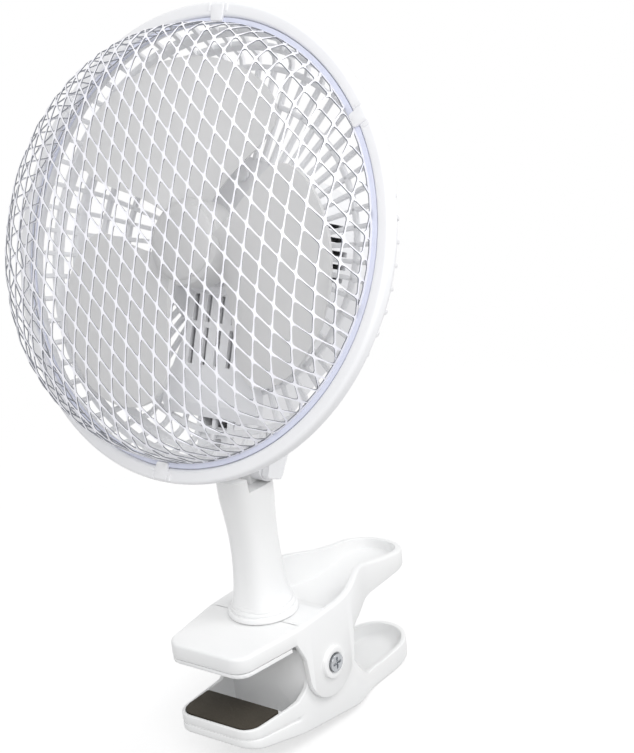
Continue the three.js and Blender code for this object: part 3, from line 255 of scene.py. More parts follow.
def makeFinish(name, look):
    # colour drifts with the mottle, dust lightens what faces up, and roughness drifts and drops on worn edges
    material = bpy.data.materials.new(name)
    material.use_nodes = True
    tree = material.node_tree
    shader = tree.nodes["Principled BSDF"]
    add, join = tree.nodes.new, tree.links.new
    skin = add("ShaderNodeGroup")
    skin.node_tree = skinTree
    skin.inputs["Grain Scale"].default_value = look["grain"]
    skin.inputs["Mottle Scale"].default_value = look["mottle"]
    base, dusty = add("ShaderNodeMix"), add("ShaderNodeMix")
    base.data_type = dusty.data_type = "RGBA"
    base.inputs["A"].default_value = linear(*look["colour"])
    base.inputs["B"].default_value = linear(*look["second"])
    join(skin.outputs["Mottle"], base.inputs["Factor"])
    amount = add("ShaderNodeMath")
    amount.operation = "MULTIPLY"
    amount.inputs[1].default_value = look.get("dust", 0.0)
    join(skin.outputs["Dust"], amount.inputs[0])
    join(amount.outputs["Value"], dusty.inputs["Factor"])
    join(base.outputs["Result"], dusty.inputs["A"])
    dusty.inputs["B"].default_value = linear(*look.get("dustColour", (214, 212, 206)))
    join(dusty.outputs["Result"], shader.inputs["Base Color"])
    low, high = look["rough"]
    rough, worn = add("ShaderNodeMapRange"), add("ShaderNodeMath")
    rough.inputs["From Min"].default_value = 0.3
    rough.inputs["From Max"].default_value = 0.7
    rough.inputs["To Min"].default_value = low
    rough.inputs["To Max"].default_value = high
    join(skin.outputs["Mottle"], rough.inputs["Value"])
    worn.operation = "MULTIPLY_ADD"
    worn.inputs[1].default_value = -look.get("wear", 0.06)
    join(skin.outputs["Edge"], worn.inputs[0])
    join(rough.outputs["Result"], worn.inputs[2])
    join(worn.outputs["Value"], shader.inputs["Roughness"])
    bump = add("ShaderNodeBump")
    bump.inputs["Strength"].default_value = look["bump"]
    bump.inputs["Distance"].default_value = look.get("depth", 0.00008)
    join(skin.outputs["Height"], bump.inputs["Height"])
    join(bump.outputs["Normal"], shader.inputs["Normal"])
    shader.inputs["Metallic"].default_value = look.get("metal", 0.0)
    shader.inputs["IOR"].default_value = look.get("ior", 1.46)
    shader.inputs["Coat Weight"].default_value = look.get("coat", 0.0)
    shader.inputs["Coat Roughness"].default_value = 0.25
    if "glow" in look:
        # light that comes through a thin wall, beside the plastic's own surface
        through, both = add("ShaderNodeBsdfTranslucent"), add("ShaderNodeMixShader")
        through.inputs["Color"].default_value = linear(*look["glowColour"])
        both.inputs["Fac"].default_value = look["glow"]
        join(shader.outputs["BSDF"], both.inputs[1])
        join(through.outputs["BSDF"], both.inputs[2])
        join(both.outputs["Shader"], tree.nodes["Material Output"].inputs["Surface"])
    return material


whiteLook = {"colour": (244, 244, 243), "second": (238, 239, 240), "grain": 2600.0, "mottle": 24.0,
             "rough": (0.34, 0.46), "bump": 0.22, "dust": 0.05, "coat": 0.08}
cageLook = {"colour": (243, 243, 244), "second": (236, 237, 240), "grain": 2100.0, "mottle": 30.0,
            "rough": (0.36, 0.5), "bump": 0.2, "dust": 0.08}
bladeLook = {"colour": (238, 238, 238), "second": (231, 231, 232), "grain": 1500.0, "mottle": 20.0,
             "rough": (0.3, 0.42), "bump": 0.15, "dust": 0.06, "glow": 0.35, "glowColour": (238, 238, 237)}
coatLook = {"colour": (246, 246, 250), "second": (238, 238, 246), "grain": 1800.0, "mottle": 60.0,
            "rough": (0.26, 0.4), "bump": 0.25, "metal": 0.0, "coat": 0.35, "dust": 0.06}
# painted shade: the darker grey metal on the slit sides stands in for the shade along each strand's cut edge
slitShadeLook = {"colour": (150, 152, 158), "second": (124, 127, 134), "grain": 1600.0, "mottle": 90.0,
           "rough": (0.34, 0.5), "bump": 0.3, "metal": 0.35}
flangeLook = {**coatLook, "colour": (222, 225, 240), "second": (214, 218, 236)}
foamLook = {"colour": (66, 60, 50), "second": (48, 44, 38), "grain": 2400.0, "mottle": 160.0,
            "rough": (0.86, 0.98), "bump": 0.9, "depth": 0.0003, "dust": 0.18, "dustColour": (120, 114, 102)}
steelLook = {"colour": (196, 198, 201), "second": (166, 169, 173), "grain": 1400.0, "mottle": 220.0,
             "rough": (0.18, 0.34), "bump": 0.3, "metal": 1.0, "wear": 0.1}
ironLook = {"colour": (128, 132, 138), "second": (96, 100, 106), "grain": 700.0, "mottle": 120.0,
            "rough": (0.38, 0.56), "bump": 0.5, "metal": 0.9}
copperLook = {"colour": (184, 112, 62), "second": (140, 78, 40), "grain": 900.0, "mottle": 300.0,
              "rough": (0.28, 0.44), "bump": 0.6, "metal": 0.85, "depth": 0.0003}
blackLook = {"colour": (40, 41, 44), "second": (30, 31, 33), "grain": 1900.0, "mottle": 40.0,
             "rough": (0.42, 0.56), "bump": 0.3, "dust": 0.12}
clampWhite = makeFinish("clamp satin white plastic", whiteLook)
cageWhite = makeFinish("cage white plastic", cageLook)
bladeGrey = makeFinish("blade frosted grey plastic", bladeLook)
meshCoat = makeFinish("mesh powder-coated steel", coatLook)
slitShadeFinish = makeFinish("mesh slit sides, painted shade", slitShadeLook)
flangeCoat = makeFinish("flange bluish coated steel", flangeLook)
padFoam = makeFinish("jaw pad foam", foamLook)
brightSteel = makeFinish("screw bright steel", steelLook)
ironPlate = makeFinish("motor iron plate", ironLook)
copperWire = makeFinish("coil copper wire", copperLook)
blackPlastic = makeFinish("switch black plastic", blackLook)
print("finishes made")

# front guard: a sheet of slit and stretched metal, formed to a dome and set in a flat flange
meshLook = {"origin": (11.8, 4.3), "a": (6.397, -4.968), "b": (-0.147, -8.05), "strand": 0.5, "thick": 0.45,
            "twist": 0.12, "reach": 92.0, "crownEdge": 74.0, "wallStart": 76.0, "crownHeight": 35.4,
            "crownRadius": 86, "sink": 0.9, "wallBend": (81.6, 19.8), "wallEnd": (84.4, -0.9),
            "sharp": 0.2, "blunt": 0.12, "sharpCut": 0.055, "bluntCut": 0.03, "stretch": 1.15}
crownSteps = 200


def domeProfile():
    # radius and height along the dome from its crown to the flange: a flattened crown, then a curved wall
    r = np.linspace(0, meshLook["wallStart"], crownSteps)
    s = meshLook["crownHeight"] * (1 - (r / meshLook["crownRadius"]) ** 3) ** (1 / 3) - meshLook["sink"]
    t = np.linspace(0, 1, 120)[1:]
    p0, p1, p2 = np.array([r[-1], s[-1]]), np.array(meshLook["wallBend"]), np.array(meshLook["wallEnd"])
    wall = np.outer((1 - t) ** 2, p0) + np.outer(2 * t * (1 - t), p1) + np.outer(t ** 2, p2)
    line = np.vstack([np.column_stack([r, s]), wall])
    length = np.concatenate([[0], np.cumsum(np.hypot(*np.diff(line, axis=0).T))])
    return line, length


domeLine, domeLength = domeProfile()


def domePlace(flat, lift):
    # a place of the flat sheet is drawn over the dome: its reach becomes a length along the profile
    reach = np.hypot(flat[..., 0], flat[..., 1])
    reach = np.maximum(reach, 1e-6)
    q = reach / meshLook["crownRadius"]
    crown = np.minimum(reach * (1 + 0.21 * q ** 2 - 0.236 * q ** 4), meshLook["wallStart"])
    crownRadii, crownLengths = domeLine[:crownSteps, 0], domeLength[:crownSteps]
    start = np.interp(meshLook["wallStart"], crownRadii, crownLengths)
    onCrown = np.interp(crown, crownRadii, crownLengths)
    past = np.maximum(reach - meshLook["crownEdge"], 0)
    span = meshLook["reach"] - meshLook["crownEdge"]
    room = domeLength[-1] - start
    stretch = meshLook["stretch"]
    onWall = start + stretch * past + (room - stretch * span) * (past / span) ** 2
    along = np.where(past > 0, onWall, onCrown)
    along = np.minimum(along, domeLength[-1])
    r = np.interp(along, domeLength, domeLine[:, 0])
    s = np.interp(along, domeLength, domeLine[:, 1])
    ahead = np.minimum(along + 0.5, domeLength[-1])
    behind = ahead - 1.0
    dr = np.interp(ahead, domeLength, domeLine[:, 0]) - np.interp(behind, domeLength, domeLine[:, 0])
    ds = np.interp(ahead, domeLength, domeLine[:, 1]) - np.interp(behind, domeLength, domeLine[:, 1])
    size = np.hypot(dr, ds)
    r, s = r - ds / size * lift, s + dr / size * lift
    return np.stack([r * flat[..., 0] / reach, r * flat[..., 1] / reach, s], axis=-1)


def guardMesh():
    # each cell of the lattice is a ring of faces between its outline and a rounded diamond hole
    origin, a, b = (np.array(meshLook[k]) for k in ("origin", "a", "b"))
    d = meshLook["strand"] / 2 / (abs(a[0] * b[1] - a[1] * b[0]) / np.linalg.norm(a))
    edge = np.array([[0, 0], [1, 0], [2, 0], [3, 0], [3, 1], [3, 2], [3, 3], [2, 3], [1, 3], [0, 3], [0, 2], [0, 1]]) / 3
    sharp, blunt, sharpCut, bluntCut = (meshLook[k] for k in ("sharp", "blunt", "sharpCut", "bluntCut"))
    far = 1 - d
    hole = np.array([[d + sharpCut, d + sharpCut], [d + sharp, d],
                     [far - blunt, d], [far - bluntCut, d + bluntCut], [far, d + blunt],
                     [far, far - sharp], [far - sharpCut, far - sharpCut], [far - sharp, far],
                     [d + blunt, far], [d + bluntCut, far - bluntCut], [d, far - blunt], [d, d + sharp]])
    i, j = np.meshgrid(np.arange(-24, 25), np.arange(-30, 31), indexing="ij")
    corner = origin + i.reshape(-1, 1) * a + j.reshape(-1, 1) * b
    outline = corner[:, None] + edge[:, 0:1] * a + edge[:, 1:2] * b
    inner = corner[:, None] + hole[:, 0:1] * a + hole[:, 1:2] * b
    reachOut, reachIn = np.linalg.norm(outline, axis=-1), np.linalg.norm(inner, axis=-1)
    keep = reachIn.min(axis=1) < meshLook["reach"] - 1.2
    outline, inner, reachOut, reachIn = outline[keep], inner[keep], reachOut[keep], reachIn[keep]
    outline = outline * np.minimum(1, meshLook["reach"] / reachOut)[..., None]
    inner = inner * np.minimum(1, (meshLook["reach"] - 0.7) / reachIn)[..., None]
    # the strands lean: a hole's edge rises on one side of the short way and falls on the other
    lean = (hole[:, 0] - hole[:, 1]) * meshLook["twist"] * 1.4
    outer = domePlace(outline, np.zeros(outline.shape[:2]))
    inside = domePlace(inner, np.broadcast_to(lean, inner.shape[:2]))
    cells = np.concatenate([outer, inside], axis=1)
    k = np.arange(12)
    ring = np.stack([k, (k + 1) % 12, (k + 1) % 12 + 12, k + 12], axis=-1)
    faces = (ring[None] + (np.arange(len(cells)) * 24)[:, None, None]).reshape(-1, 4)
    print("front guard openings:", len(cells))
    return Parts().add(toHead(cells), faces)


def thicken(thick, edge, offset=0.0, segments=2, rim=0):
    def modify(piece):
        m = piece.modifiers.new("sheet", "SOLIDIFY")
        m.thickness = thick * mm
        m.offset = offset
        m.use_even_offset = False
        m.material_offset_rim = rim
        if edge:
            bevel(edge, segments, 50)(piece)
    return modify


flangeShape = rounded([[83.9, -2.1], [86.5, -2.1], [86.5, -0.9], [83.9, -0.9]], 0.4, 3)
guardFlange = Parts().grid(lathe(flangeShape, 240, toHead), wrapRows=True, wrapCols=True)
guard = makePiece("guard_mesh", guardMesh(), "head", meshCoat, ("front_guard",), merge=0.02,
                  angle=60, modify=thicken(meshLook["thick"], 0.1, 0.0, 1, 1))
guard.data.materials.append(slitShadeFinish)  # the sides of the slits get a darker, greyer metal: painted shade along the strands' edges, since the real sides carry the same coat
makePiece("guard_flange", guardFlange, "head", flangeCoat)
print("front guard made")

# rear guard: a rim, rings and a back plate, joined by ribs that run down the wall and over the corner
cage = {"ribs": 56, "ribWidth": 1.8, "ribDepth": 2.2,
        "rim": [[86.6, -1.6], [87.4, 0], [91.7, 0], [92.5, -1.4], [92.4, -5.0], [91.8, -5.7], [88.3, -8.2],
                [86.3, -8.2], [84.6, -4.4], [84.6, -2.5], [86.6, -2.5]],
        "rings": [[[83.2, -12], [85.4, -12], [84.2, -16], [82, -16]],
                  [[79.2, -20], [81.4, -20], [80.2, -23.5], [78, -23.5]],
                  [[73.6, -27.4], [73.6, -29.6], [71.2, -29.6], [71.2, -27.4]],
                  [[59.4, -27.4], [59.4, -29.6], [57.4, -29.6], [57.4, -27.4]],
                  [[37, -27.4], [37, -29.6], [6, -29.6], [6, -27.4]]],
        "path": [[87.0, -7.2], [85.5, -10], [84.3, -12], [83.1, -16], [81.9, -18], [80.3, -20], [79.1, -23.5],
                 [77.6, -26.6], [75.6, -28.1], [73.0, -28.5], [66, -28.5], [58.4, -28.5], [48, -28.5],
                 [36, -28.5]],
        "tabs": [90, 35, 145, 270]}


def cageRibs():
    # a rounded section carried along the rib's path in the plane of radius and s, then turned round the axis
    path = np.array(cage["path"], float)
    path = np.vstack([path[0], path, path[-1]])
    way = np.gradient(path, axis=0)
    way[0], way[-1] = way[1], way[-2]
    way /= np.linalg.norm(way, axis=1)[:, None]
    across = np.column_stack([-way[:, 1], way[:, 0]])
    w, d = cage["ribWidth"] / 2, cage["ribDepth"] / 2
    section = rounded([[w, d], [-w, d], [-w, -d], [w, -d]], 0.45, 2)
    size = np.ones(len(path))
    size[0] = size[-1] = 0.001
    rz = path[:, None] + across[:, None] * (section[:, 1] * size[:, None])[..., None]
    x = section[:, 0] * size[:, None]
    turn = (np.arange(cage["ribs"]) / cage["ribs"] * 2 * np.pi + np.pi / 2)[:, None, None]
    c, s = np.cos(turn), np.sin(turn)
    points = np.stack([rz[..., 0] * c - x * s, rz[..., 0] * s + x * c, rz[..., 1] + 0 * turn], axis=-1)
    rows, cols = points.shape[1:3]
    faces = gridFaces(rows, cols, wrapCols=True)
    return points, (faces[None] + (np.arange(cage["ribs"]) * rows * cols)[:, None, None]).reshape(-1, 4)


def spinIn(parts, outline, radius, segments):
    return parts.grid(lathe(rounded(outline, radius, 3), segments, toHead), wrapRows=True, wrapCols=True)


cageParts = Parts()
spinIn(cageParts, cage["rim"], 0.9, 240)
for outline in cage["rings"]:
    spinIn(cageParts, outline, 0.5, 200)
ribPoints, ribFaces = cageRibs()
cageParts.add(toHead(ribPoints), ribFaces)


def tabPlace(degrees):
    a = math.radians(degrees)
    turn = np.array([[math.cos(a), math.sin(a), 0], [-math.sin(a), math.cos(a), 0], [0, 0, 1]])
    return lambda points: toHead(points @ turn)


for degrees in cage["tabs"]:
    # a clip over the flange with a nib at its inner end
    plan = rounded([[91.4, -3.2], [91.4, 3.2], [84.7, 2.7], [84.7, -2.7]], 0.9, 3)
    cageParts.grid(slab(plan, -1.1, 0.5, 0.35, tabPlace(degrees)), wrapCols=True)
    for side in (-1, 1):
        outer, nearer = side * 4.9, side * 3.5
        ear = rounded([[91.6, outer], [91.6, nearer], [88.5, nearer], [88.5, outer]], 0.4, 2)
        cageParts.grid(slab(ear, -1.0, 0.35, 0.25, tabPlace(degrees)), wrapCols=True)
makePiece("cage_bowl", cageParts, "head", cageWhite, ("rear_guard",), merge=0.004, angle=35)
print("rear guard made")

# impeller: a cup with a nose and three broad leaves
fan = {"first": 109.0, "count": 3, "root": 15.5, "tip": 72.0, "spread": 28.0, "belly": 20.0, "rise": 10.5,
       "thick": 1.5, "sweep": 4, "widest": 0.66, "tipStart": 0.62, "bow": 1.6, "rootHeight": -1.5,
       "climb": 2.5}


def leaf(index):
    # u runs out from the hub and w across; the outline is round at the tip and the pitch tips it over
    u = 1 - np.linspace(1, 0, 40) ** 1.6
    w = np.sin(np.linspace(-1, 1, 49) * np.pi / 2)
    u, w = np.meshgrid(u, w, indexing="ij")
    widest, tipStart = fan["widest"], fan["tipStart"]
    spread = fan["spread"] + fan["belly"] * np.sin(np.pi / 2 * np.minimum(u, widest) / widest) ** 0.9
    past = np.clip((u - tipStart) / (1 - tipStart), 0, 1)
    rounding = np.sqrt(np.clip(1 - past ** 2.4, 0, 1))
    radius = fan["root"] + u * (fan["tip"] - fan["root"])
    middle = fan["first"] + index * 360 / fan["count"] - fan["sweep"] * u * u
    angle = np.radians(w * spread * rounding + middle)
    bow = fan["bow"] * (1 - w ** 2) * np.sin(np.pi * u)
    pitch = w * rounding * fan["rise"] * (0.5 + 0.5 * u)
    s = pitch + fan["rootHeight"] + fan["climb"] * u + bow
    return toHead(np.stack([radius * np.cos(angle), radius * np.sin(angle), s], axis=-1))


leaves = Parts()
for index in range(fan["count"]):
    leaves.grid(leaf(index))
cup = [[0, 1.6], [14.6, 1.6], [15.0, 1.0], [15.0, -8.6], [15.4, -9.0], [16.6, -9.0], [17, -8.6], [17, 1.6],
       [16.5, 3.0], [15.3, 3.8], [13.6, 4.0], [10.9, 4.0], [10.6, 3.4], [0, 3.4]]
hub = Parts().grid(lathe(cup, 120, toHead), wrapRows=True)
noseShape = {"radius": 14.9, "base": 3.2, "shoulder": 3.9, "rise": 4.0, "squareness": 0.8}
turnNose = np.linspace(0, np.pi / 2, 14)[:-1]
nose = [[0, noseShape["base"]], [noseShape["radius"], noseShape["base"]]]
nose += [[noseShape["radius"] * math.cos(a) ** noseShape["squareness"],
          noseShape["shoulder"] + noseShape["rise"] * math.sin(a)] for a in turnNose]
nose += [[0, noseShape["shoulder"] + noseShape["rise"]]]
makePiece("fan_leaves", leaves, "rotor", bladeGrey, ("impeller",), merge=0.02, angle=50,
          modify=thicken(fan["thick"], 0.35, 0.0, 2))
makePiece("fan_hub", hub, "rotor", bladeGrey, angle=30)
noseParts = Parts().grid(lathe(nose, 96, toHead), wrapRows=True)
makePiece("fan_nose", noseParts, "rotor", bladeGrey, ("hub_cap",), angle=30)
print("impeller made")

# clamp: the plan outline of a jaw, and heights along Y
jaw = {"front": -16.5, "frontHalf": 20.9, "rearHalf": 24.8, "fullY": 18.0, "corner": 8.0, "wall": 2.2,
       "handleHalf": 16.0, "end": 112.0, "endCorner": 15.0, "narrow": (50.0, 78.0), "top": 11.0,
       "pivot": (35.0, -13.0)}


def jawPath(frontHalf, rearHalf, endHalf, end, breaks):
    # half an outline from the middle of the front round to the middle of the end, and the way out of it
    f, c, e = jaw["front"], jaw["corner"], jaw["endCorner"]
    turn = np.linspace(0, np.pi / 2, 13)
    n0, n1 = jaw["narrow"]
    side = np.unique(np.concatenate([np.linspace(f + c, end - e, 60), np.asarray(breaks, float)]))
    side = side[(side > f + c + 0.01) & (side < end - e - 0.01)]
    half = np.interp(side, [f + c, jaw["fullY"], n0], [frontHalf, rearHalf, rearHalf])
    t = np.clip((side - n0) / (n1 - n0), 0, 1)
    half = np.where(side > n0, rearHalf + (endHalf - rearHalf) * t * t * (3 - 2 * t), half)
    front = np.column_stack([frontHalf - c + c * np.sin(turn), f + c - c * np.cos(turn)])
    back = np.column_stack([endHalf - e + e * np.cos(turn), end - e + e * np.sin(turn)])
    across = np.linspace(0, 1, 5)[:-1, None]
    start = np.array([[0, f]]) + across * (front[0] - np.array([0, f]))
    last = back[-1] + np.linspace(0, 1, 5)[1:, None] * (np.array([0, end]) - back[-1])
    line = np.vstack([start, front, np.column_stack([half, side]), back, last])
    way = np.gradient(line, axis=0)
    way /= np.linalg.norm(way, axis=1)[:, None]
    out = np.column_stack([way[:, 1], -way[:, 0]])
    out[0], out[-1] = (0, -1), (0, 1)
    return line, out


def jawSkin(line, out, rows):
    # rows of (inset, height) go up the outside and down the inside; an inset of None is the middle line
    low, high = line[:, 1].min() + 8, line[:, 1].max() - 8
    middle = np.column_stack([np.zeros(len(line)), np.clip(line[:, 1], low, high)])
    rings = []
    for inset, height in rows:
        if inset is None:
            place = middle
        else:
            place = line - out * np.reshape(inset, (-1, 1))
            place[:, 0] = np.maximum(place[:, 0], 0)
        rings.append(np.column_stack([place, height(place[:, 1])]))
    right = np.array(rings)
    left = right * np.array([-1, 1, 1])
    return Parts().grid(right).grid(left)


def curveOf(points, smooth=0.0):
    # a height along Y through the points, eased over a short distance where smooth is set
    points = np.array(points, float)

    def height(y):
        y = np.asarray(y, float)
        if not smooth:
            return np.interp(y, points[:, 0], points[:, 1])
        step = np.linspace(-smooth, smooth, 9)
        weight = 1 - np.abs(step) / (smooth * 1.25)
        shifted = (k * np.interp(y + d, points[:, 0], points[:, 1]) for d, k in zip(step, weight))
        return sum(shifted) / weight.sum()
    return height


def ring(cy, cz, radius, start, end, steps):
    a = np.radians(np.linspace(start, end, steps))
    return np.column_stack([cy + radius * np.cos(a), cz + radius * np.sin(a)])


top = jaw["top"]
floorAt = curveOf([[-20, top], [36, top], [44, top - 5.6], [52, top - 9.4], [59, top - 10.6],
                   [72, top - 10.8], [88, top - 10.2], [100, top - 9.6], [113, top - 9]], 3.0)
rimAt = curveOf([[-20, top], [34, top], [46, top + 0.4], [56, top + 3.6], [64, top + 4.6], [72, top + 3],
                 [81, top + 0.4], [92, top - 2], [104, top - 3.8], [113, top - 5]], 4.0)
cheekLine = np.vstack([[[-20, 4.0], [14.5, 4.0], [18.5, -4.5]], ring(*jaw["pivot"], 15.4, 181, 350, 34),
                       [[50.4, -12], [50.8, -8], [51.4, -6.4], [52.2, -5.2], [53.4, -4.3], [55, -3.6],
                        [58, -3.2], [63, -2.9], [72, -2.2], [88, -1.6], [100, -1.0], [113, -0.4]]])
cheekAt = curveOf(cheekLine)
roll = np.linspace(0, np.pi / 2, 5)
wall = jaw["wall"]
skinGap = 0.02  # keeps two heights apart where they would meet


def raised(height, lift):
    return lambda y: height(y) + lift


def outerRoll(height, radius):
    # rows that roll over an edge from the outside up to its top
    return [(radius * (1 - math.cos(a)), raised(height, -radius * (1 - math.sin(a)))) for a in roll]


def innerRoll(height, radius, inset):
    # rows that roll over an edge from its top down to the inside
    return [(inset - radius * (1 - math.sin(a)), raised(height, -radius * (1 - math.cos(a)))) for a in roll]


def notBelow(height, other):
    return lambda y: np.maximum(height(y), other(y))


def notAbove(height, other):
    return lambda y: np.minimum(height(y), other(y))


underAt = raised(floorAt, -wall)
lowAt = notAbove(cheekAt, raised(underAt, -skinGap))
line, out = jawPath(jaw["frontHalf"], jaw["rearHalf"], jaw["handleHalf"], jaw["end"], cheekLine[:, 0])
lipInset = 3.0
upperRows = [(None, underAt), (wall + 0.6, underAt), (wall, raised(underAt, -skinGap)),
             (wall, raised(lowAt, 0.3)), (wall - 0.3, lowAt), (0.8, lowAt), (0.25, raised(lowAt, 0.25)),
             (0, raised(lowAt, 0.8))]
upperRows += outerRoll(rimAt, 1.3)
upperRows += [(inset, notBelow(height, floorAt)) for inset, height in innerRoll(rimAt, 0.6, lipInset)]
upperRows += [(lipInset, notAbove(raised(floorAt, 1.2), rimAt)),
              (lipInset + 0.4, notAbove(raised(floorAt, 0.4), rimAt)),
              (lipInset + 1.4, floorAt), (None, floorAt)]
upperJaw = jawSkin(line, out, upperRows)


def pivotBoss(side):
    # a raised ring round the sunk screw head, turned to face the side
    profile = [[0, -2.2], [7.2, -2.2], [7.0, 1.1], [6.8, 1.45], [6.4, 1.6], [4.8, 1.6], [4.4, 1.4],
               [4.2, 1.0], [4.2, 0.2], [0, 0.2]]
    points = lathe(profile, 64)
    x = side * (points[..., 2] + jaw["rearHalf"])
    y, z = jaw["pivot"]
    return np.stack([x, y + points[..., 0], z + points[..., 1]], axis=-1)


for side in (-1, 1):
    upperJaw.grid(pivotBoss(side), wrapRows=True)
makePiece("upper_clamp_shell", upperJaw, "upper_clamp", clampWhite, ("upper_jaw",), angle=38)
print("upper jaw made")

lowerRimLine = np.vstack([[[-20, -21.7], [14, -22.1], [19, -19], [24, -11.6]],
                          ring(*jaw["pivot"], 11, 170, 10, 21),
                          [[51, -17.5], [54, -23.5], [60, -31.2], [68, -36.6], [80, -37.8], [92, -37.2],
                           [102, -36], [111, -35]]])
lowerRimAt = curveOf(lowerRimLine, 0.8)
bottomAt = curveOf([[-20, -28.9], [-16.5, -29.7], [-8, -32.6], [14.5, -38], [58, -44.6], [76, -47.2],
                    [91, -46.8], [103, -45], [111, -41]], 2.5)
lowerLine, lowerOut = jawPath(jaw["frontHalf"] - 0.3, 22.2, jaw["handleHalf"] - 0.5, jaw["end"] - 2.5,
                              lowerRimLine[:, 0])
groove = 0.7 * np.clip((16 - lowerLine[:, 1]) / 6, 0, 1)  # a seam that fades out towards the pivot


def between(share):
    return lambda y: bottomAt(y) + (lowerRimAt(y) - bottomAt(y)) * share


lowerRows = [(None, bottomAt), (2.4, bottomAt)]
lowerRows += [(1.4 * (1 - math.sin(a)), raised(bottomAt, 1.4 * (1 - math.cos(a)))) for a in roll]
lowerRows += [(0.0, between(0.4)), (groove * 0.15, between(0.44)), (groove, between(0.46)),
              (groove, between(0.54)), (groove * 0.15, between(0.56)), (0.0, between(0.6))]
lowerRows += outerRoll(lowerRimAt, 0.6)
padLip = 1.5
lip = padLip + 0.7 * np.clip((lowerLine[:, 1] - 7) / 6, 0, 1)  # the wall is thinner round the pad
lowerRows += innerRoll(lowerRimAt, 0.4, lip)
insideAt = raised(bottomAt, wall)
lowerRows += [(lip, raised(insideAt, 0.9)), (wall + 0.4, raised(insideAt, 0.3)), (wall + 1.2, insideAt),
              (None, insideAt)]
lowerJaw = jawSkin(lowerLine, lowerOut, lowerRows)
shelfEnd = 6.5
isFront = lowerLine[:, 1] < shelfEnd
front = lowerLine[isFront] - lowerOut[isFront] * padLip
shelfRight = np.vstack([front, [[front[-1, 0], shelfEnd]]])
shelf = np.vstack([shelfRight, shelfRight[::-1] * np.array([-1, 1])])
lowerJaw.grid(slab(shelf[1:], -25.8, -23.6, 0.3, middle=(0, -4)), wrapCols=True)
webOutline = rounded([[-21.6, -38.5], [21.6, -38.5], [21.6, -15.5],
                      [19.5, -2.5], [-19.5, -2.5], [-21.6, -15.5]], 1.2, 3)
lowerJaw.grid(slab(webOutline, 21, 23.2, 0.4, alongY, (0, -18)), wrapCols=True)
for y in (64, 70, 76):
    ribLine = rounded([[-12.8, -46.4], [12.8, -46.4], [12, -42.6], [-12, -42.6]], 0.8, 2)
    lowerJaw.grid(slab(ribLine, y, y + 1.6, 0.3, alongY), wrapCols=True)
makePiece("lower_clamp_shell", lowerJaw, "lower_clamp", clampWhite, ("lower_jaw",), angle=38)
print("lower jaw made")

fromNode("jaw_lining", "upper_clamp", clampWhite, "lining_plate", 0.35)


def widenPad(points):
    # the pad grows sideways and forwards to meet the lip
    x, y, z = points.T
    return np.column_stack([x * 1.055, y - 0.9 * np.clip((4 - y) / 17.6, 0, 1), z])


for node, body, name, reshape in (("upper_pad", "upper_clamp", "upper_foam_pad", None),
                                  ("lower_pad", "lower_clamp", "lower_foam_pad", widenPad)):
    fromNode(node, body, padFoam, name, 0.4, reshape=reshape)

# torsion spring: round wire wound about the pivot, with a leg to each handle
spring = {"wire": 2.0, "radius": 6.2, "pitch": 3.1, "turns": 5, "start": 96.0, "extra": 132.0,
          "upperLeg": (22.0, 3.6), "lowerLeg": (23.2, -22.7)}


def springLine():
    # a leg, a helix whose x grows with the angle, and a leg
    half = spring["pitch"] * spring["turns"] / 2
    share = np.linspace(0, 1, 360)
    a = np.radians(spring["start"] + share * (spring["turns"] * 360 + spring["extra"]))
    y, z = jaw["pivot"]
    r = spring["radius"]
    coil = np.column_stack([-half + 2 * half * share, y + r * np.cos(a), z + r * np.sin(a)])
    reach = np.linspace(0, 1, 20)[1:, None]
    upper = coil[0] + reach[::-1] * np.array([0, *spring["upperLeg"]])
    lower = coil[-1] + reach * np.array([0, *spring["lowerLeg"]])
    return np.vstack([upper, coil, lower])


def tube(path, radius, sides=14):
    # a circle carried along a path, with its ends closed to a point
    path = np.vstack([path[0], path, path[-1]])
    way = np.gradient(path, axis=0)
    way[0], way[-1] = way[1], way[-2]
    way /= np.linalg.norm(way, axis=1)[:, None]
    one = np.cross(way, np.array([1.0, 0.02, 0.01]))
    one /= np.linalg.norm(one, axis=1)[:, None]
    two = np.cross(way, one)
    turn = np.linspace(0, 2 * np.pi, sides, endpoint=False)
    size = np.full(len(path), radius)
    size[0] = size[-1] = 0.001
    circle = one[:, None] * np.cos(turn)[:, None] + two[:, None] * np.sin(turn)[:, None]
    return path[:, None] + size[:, None, None] * circle


springParts = Parts().grid(tube(springLine(), spring["wire"] / 2), wrapCols=True)
makePiece("spring_wire", springParts, "upper_clamp", brightSteel, ("torsion_spring",),
          merge=0.002)

# neck: a soft square column that swells to its ledge, on a stepped round foot
neckShape = {"y": 24.0, "base": 11.0, "power": 0.72, "apron": 63.6, "ledge": 58.0, "apronThick": 5.2,
             "sections": [[4.6, 11.6, 12.2, 12.2], [7.5, 10.4, 11.6, 11.4], [14, 9.5, 11, 10.6],
                          [24, 8.6, 10.2, 9.8], [34, 8.4, 10.6, 9.6], [46, 8.7, 12, 9.8],
                          [58, 9, 13.6, 10]]}


